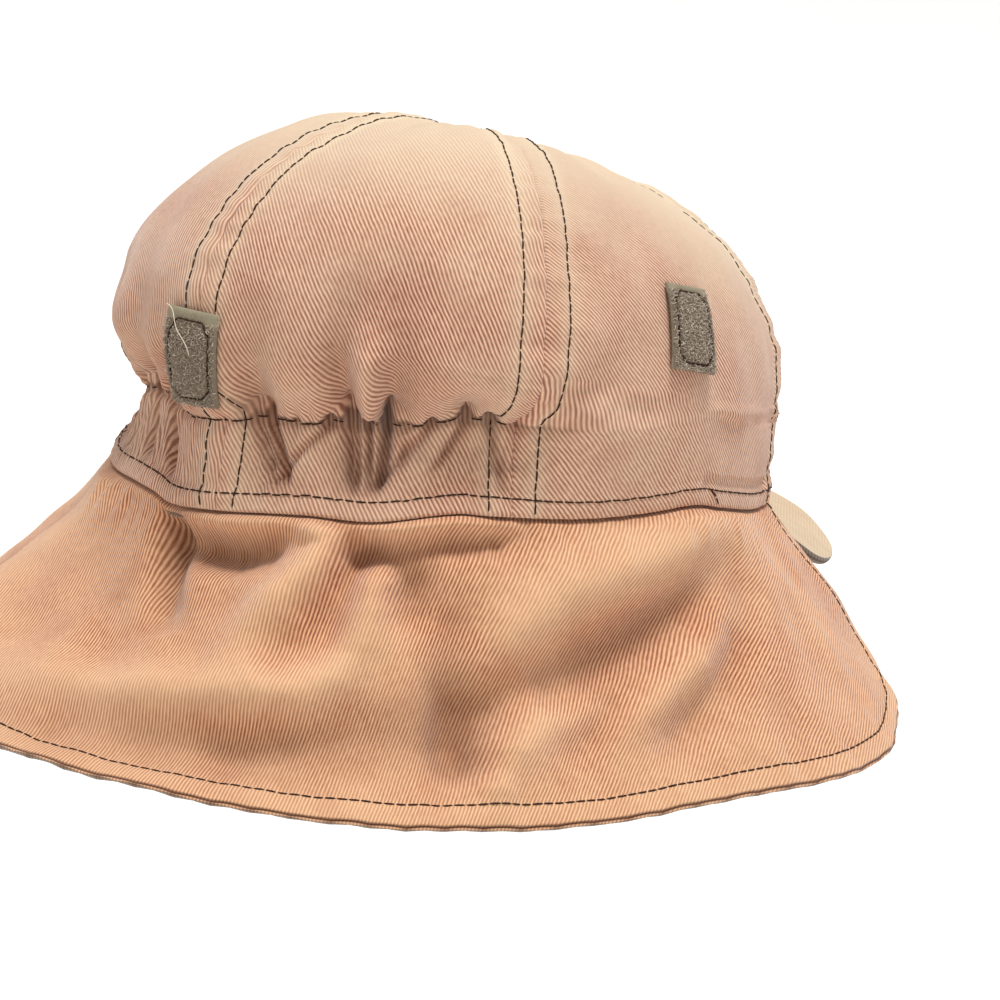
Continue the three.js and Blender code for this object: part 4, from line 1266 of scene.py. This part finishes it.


def twill(name, rib, groove, faded, deep, crisp=1.0):
    """Cotton twill, woven 2/1 and washed thin of its dye. It gives the eye fine diagonal ribs, darker
    between them, with broken slubs along the yarn, paler and deeper clouds and a soft, matt, slightly hairy
    face. It turns towards the faded colour where sun and wear have bleached it and on crests, where that
    paling is partly a painted highlight, and towards a painted shade colour along the line between two
    layers, in the crease over the casing and in the valleys of folds."""
    cloth_settings = {
        "Roughness": 0.9,
        "IOR": 1.45,
        "Specular IOR Level": 0.25,
        "Sheen Weight": 0.3,
        "Sheen Roughness": 0.5,
    }
    material, tree, shader = new_material(name, cloth_settings)
    uv = add_node(tree, "UVMap", uv_map="cloth")
    place = add_node(tree, "TexCoord", out="Object")
    across = add_node(tree, "SeparateXYZ", {0: uv})
    turns = 2 * math.pi * UV_UNIT / TWILL_PITCH
    straight = add_node(tree, "Math", {0: across, 1: turns}, operation="MULTIPLY")
    wander = add_node(tree, "TexNoise", {"Vector": place, "Scale": 1 / (9 * MM), "Detail": 1.0})
    phase = add_node(tree, "Math", {0: wander, 1: 5.0, 2: straight}, operation="MULTIPLY_ADD")
    wave = add_node(tree, "Math", {0: phase}, operation="SINE")
    ribs = add_node(tree, "MapRange", {"Value": wave, "From Min": -0.75, "From Max": 0.75})
    along_yarn = (UV_UNIT / YARN, UV_UNIT / SLUB, 1.0)
    stretched = add_node(tree, "Mapping", {"Vector": uv, "Scale": along_yarn})
    slubs = add_node(tree, "TexNoise", {"Vector": stretched, "Scale": 1.0})
    uneven = add_node(tree, "Math", {0: slubs, 1: 0.9, 2: -0.45}, operation="MULTIPLY_ADD")
    weave = add_node(tree, "Math", {0: ribs, 1: crisp, 2: uneven}, operation="MULTIPLY_ADD")
    even = add_node(tree, "Math", {0: weave, 1: 0.5 * (1 - crisp)}, operation="ADD", use_clamp=True)
    over = []
    for size, low, high, colour in [(26, 0.35, 0.7, faded), (11, 0.48, 0.8, deep)]:
        clouds = add_node(tree, "TexNoise", {"Vector": place, "Scale": 1 / (size * MM), "Detail": 3.0})
        span = {"Value": clouds, "From Min": low, "From Max": high, "To Max": CLOUD_SHARE}
        over.append([add_node(tree, "MapRange", span), colour])
    for layer, colour in [("paling", faded), ("shade", PAINTED_SHADE_COLOUR)]:
        over.append([add_node(tree, "Attribute", out="Fac", attribute_name=layer), colour])
    cloth = add_node(tree, "Mix", {0: even, 6: linear(groove), 7: linear(rib)}, 2, data_type="RGBA")
    for share, colour in over:
        cloth = add_node(tree, "Mix", {0: share, 6: cloth, 7: linear(colour)}, 2, data_type="RGBA")
    height = add_node(tree, "Math", {0: slubs, 1: 0.5, 2: ribs}, operation="MULTIPLY_ADD")
    bump = add_node(tree, "Bump", {"Height": height, "Strength": 0.6, "Distance": 0.22 * MM})
    tree.links.new(cloth, shader.inputs["Base Color"])
    tree.links.new(bump, shader.inputs["Normal"])
    return material


def thread(name, colour, lit):
    """Spun polyester sewing thread, twisted of two plies. It gives the eye thin dark dashes with a faint
    shine."""
    material, tree, shader = new_material(name, {"Roughness": 0.7, "IOR": 1.5, "Specular IOR Level": 0.2})
    place = add_node(tree, "TexCoord", out="Object")
    plies = add_node(tree, "TexNoise", {"Vector": place, "Scale": 1 / (1.2 * MM)})
    two_tone(tree, shader, plies, colour, lit)
    return material


def tape(name, colour, lit):
    """The woven base of nylon loop tape. It gives the eye a flat, tight, matt ground."""
    material, tree, shader = new_material(name, {"Roughness": 0.85, "IOR": 1.53})
    uv = add_node(tree, "UVMap", uv_map="cloth")
    yarns = 2 * math.pi * UV_UNIT / TAPE_YARN
    waves = []
    for axis in (0, 1):
        along = add_node(tree, "SeparateXYZ", {0: uv}, axis)
        turns = add_node(tree, "Math", {0: along, 1: yarns}, operation="MULTIPLY")
        waves.append(add_node(tree, "Math", {0: turns}, operation="SINE"))
    crossed = add_node(tree, "Math", {0: waves[0], 1: waves[1]}, operation="MULTIPLY")
    place = add_node(tree, "TexCoord", out="Object")
    fuzz = add_node(tree, "TexNoise", {"Vector": place, "Scale": 1 / (1.5 * MM), "Detail": 3.0})
    share = add_node(tree, "Math", {0: crossed, 1: 0.25, 2: fuzz}, operation="MULTIPLY_ADD")
    two_tone(tree, shader, share, colour, lit)
    bump = add_node(tree, "Bump", {"Height": crossed, "Strength": 0.5, "Distance": 0.1 * MM})
    tree.links.new(bump, shader.inputs["Normal"])
    return material


def pile(name, colour, lit):
    """The brushed nylon loops. They give the eye a soft grey-khaki fuzz with pale specks."""
    material, tree, shader = new_material(name, {"Roughness": 0.8, "IOR": 1.53, "Sheen Weight": 0.3})
    tint = add_node(tree, "Attribute", out="Fac", attribute_name="paling")
    specks = add_node(tree, "Math", {0: tint, 1: 3.0}, operation="POWER")
    two_tone(tree, shader, specks, colour, lit)
    return material


def paint(name, colour, lit):
    """A matt painted sheet for the floor, even and pale."""
    material, tree, shader = new_material(name, {"Roughness": 0.95})
    place = add_node(tree, "TexCoord", out="Object")
    clouds = add_node(tree, "TexNoise", {"Vector": place, "Scale": 1 / (400 * MM)})
    two_tone(tree, shader, clouds, colour, lit)
    return material


# How far the twill lines lean from upright on each cut, top to the left.
PANEL_LEANS = {"back_right": 31.0, "back_left": 14.0, "side_right": 45.0}
PLAIN_LEAN = 35.0
FLAP_LEAN = 8.0
PEAK_LEAN = 30.0

crown_twill = twill("faded salmon twill", "#f0c3a4", "#8f523d", "#e8d0b0", "#ab6e54", crisp=0.85)
flap_twill = twill("faded orange twill", "#f4bd92", "#8f4a2c", "#f0c69b", "#a65f3b", crisp=0.85)
# The flap's inside and the peak's underside take darker colours than their outer faces.
flap_inside = twill("grey-brown twill inside", "#a78a74", "#6a5242", "#b09a83", "#86705b")
peak_twill = twill("cream twill", "#dcc3a0", "#c8ab86", "#e2cbaa", "#b99b78", crisp=0.6)
peak_underside = twill("brown twill underside", "#7d6350", "#513d30", "#8a7462", "#5f4b3d")
dark_thread = thread("dark brown thread", "#2c1a10", "#44291b")
pale_thread = thread("loose pale thread", "#d9ccb0", "#f3ead6")
tape_ground = tape("loop tape ground", "#736552", "#8f806d")
tape_edge = tape("loop tape edge", "#857a62", "#a3977e")
tape_pile = pile("loop tape pile", "#a3917f", "#d9cbb6")

PANELS = [
    ["back_right", 0.0, 54.0, 140, 190],
    ["back_left", -54.0, 0.0, 140, 190],
    ["side_right", 54.0, 120.0, 150, 180],
    ["side_left", -120.0, -54.0, 120, 150],
    ["front_right", 120.0, 180.0, 110, 150],
    ["front_left", -180.0, -120.0, 110, 150],
]
for name, start, end, columns, rows in PANELS:
    lean = PANEL_LEANS.get(name, PLAIN_LEAN)
    panel("crown_" + name, "panel_" + name, start, end, lean, columns, rows, [crown_twill])

flap_cloth = flap([flap_twill, flap_inside])
peak([peak_twill, peak_underside])

add_stitches("stitching_crown", crown_rows(), dark_thread, "crown_twill")
flap_stitching = add_stitches("stitching_flap", flap_rows(), dark_thread, "flap_twill")

PATCHES = [
    ["back", -1.0, 0.28, 3.0],
    ["right", 81.0, 0.44, 0.0],
    ["left", -81.0, 0.44, 0.0],
]
patch_rows = []
for side, angle, share, turn in PATCHES:
    place = patch_place(angle, share, turn)
    patch(side, place, [tape_ground, tape_edge], tape_pile)
    patch_rows.append(tape_row(place, *octagon(), PATCH_STITCH_HEIGHT, PATCH_STITCH_PITCH))
add_stitches("stitching_patches", patch_rows, dark_thread, "loop_tape")
back_place = patch_place(*PATCHES[0][1:])
add_stitches("loose_thread", [loose_thread(back_place)], pale_thread, "loop_tape")


# Studio

CAMERA_TURN = 37.5  # degrees from the back centre towards the wearer's right
CAMERA_LIFT = 5.2
CAMERA_ROLL = 5.6
CAMERA_DISTANCE = 700.0
PIXELS_PER_MM = 3.45  # at the origin's distance, in an image 1000 pixels wide
IMAGE = 1000
ORIGIN_PIXEL = (446, 470)
SENSOR = 36.0
FLOOR = -300.0
SWEEP_RUN = 3000.0
SWEEP_BEND = 1500.0
WORLD_STRENGTH = 0.47


def camera_axes():
    """Right, up and back as the camera sees them before its roll."""
    turn = math.radians(CAMERA_TURN)
    lift = math.radians(CAMERA_LIFT)
    back = Vector((-math.sin(turn) * math.cos(lift), math.cos(turn) * math.cos(lift), math.sin(lift)))
    right = Vector((-math.cos(turn), -math.sin(turn), 0))
    return right, back.cross(right), back


def add_camera():
    roll = math.radians(CAMERA_ROLL)
    right, up, back = camera_axes()
    x_axis = right * math.cos(roll) + up * math.sin(roll)
    y_axis = up * math.cos(roll) - right * math.sin(roll)
    data = bpy.data.cameras.new("camera")
    data.sensor_width = SENSOR
    data.lens = SENSOR * PIXELS_PER_MM * CAMERA_DISTANCE / IMAGE
    data.shift_x = 0.5 - ORIGIN_PIXEL[0] / IMAGE
    data.shift_y = ORIGIN_PIXEL[1] / IMAGE - 0.5
    data.clip_start = 0.01
    data.clip_end = 50
    camera = bpy.data.objects.new("camera", data)
    axes = Matrix((x_axis, y_axis, back)).transposed().to_4x4()
    camera.matrix_world = Matrix.Translation(back * CAMERA_DISTANCE * MM) @ axes
    bpy.context.scene.collection.objects.link(camera)
    bpy.context.scene.camera = camera


def add_sun(name, towards, strength, spread):
    """A large soft light far away. towards is how far it stands right of, above and behind the camera's
    view of the origin."""
    data = bpy.data.lights.new(name, "SUN")
    data.energy = strength
    data.angle = math.radians(spread)
    light = bpy.data.objects.new(name, data)
    place = sum((axis * share for axis, share in zip(camera_axes(), towards)), Vector())
    light.rotation_mode = "QUATERNION"
    light.rotation_quaternion = (-place).to_track_quat("-Z", "Y")
    bpy.context.scene.collection.objects.link(light)


def add_sweep():
    """A pale floor that curves up into a wall far behind the cap."""
    right, up, back = camera_axes()
    away = -Vector((back.x, back.y, 0)).normalized()
    turn = np.linspace(0, np.pi / 2, 24)
    run = np.concatenate([[-SWEEP_RUN], SWEEP_RUN + SWEEP_BEND * np.sin(turn), [SWEEP_RUN + SWEEP_BEND]])
    rise = np.concatenate([[0.0], SWEEP_BEND * (1 - np.cos(turn)), [SWEEP_RUN]])
    side, step = np.meshgrid([-SWEEP_RUN, SWEEP_RUN], np.arange(run.size), indexing="ij")
    points = side[..., None] * np.array(right) + run[step][..., None] * np.array(away)
    points[..., 2] = FLOOR + rise[step]
    at = np.arange(step.size).reshape(step.shape)
    faces = np.stack([at[0, :-1], at[1, :-1], at[1, 1:], at[0, 1:]], -1)
    white = paint("matt white paint", "#f1efeb", "#fbfaf8")
    sweep = add_mesh("floor", points.reshape(-1, 3), faces, [white])


def add_world():
    world = bpy.data.worlds.new("studio")
    world.use_nodes = True
    background = world.node_tree.nodes["Background"]
    background.inputs["Color"].default_value = (1, 1, 1, 1)
    background.inputs["Strength"].default_value = WORLD_STRENGTH
    bpy.context.scene.world = world


add_camera()
add_world()
add_sweep()
add_sun("key", (0.08, 0.92, 0.27), 2.8, 22)
bpy.context.scene.view_settings.view_transform = "Standard"
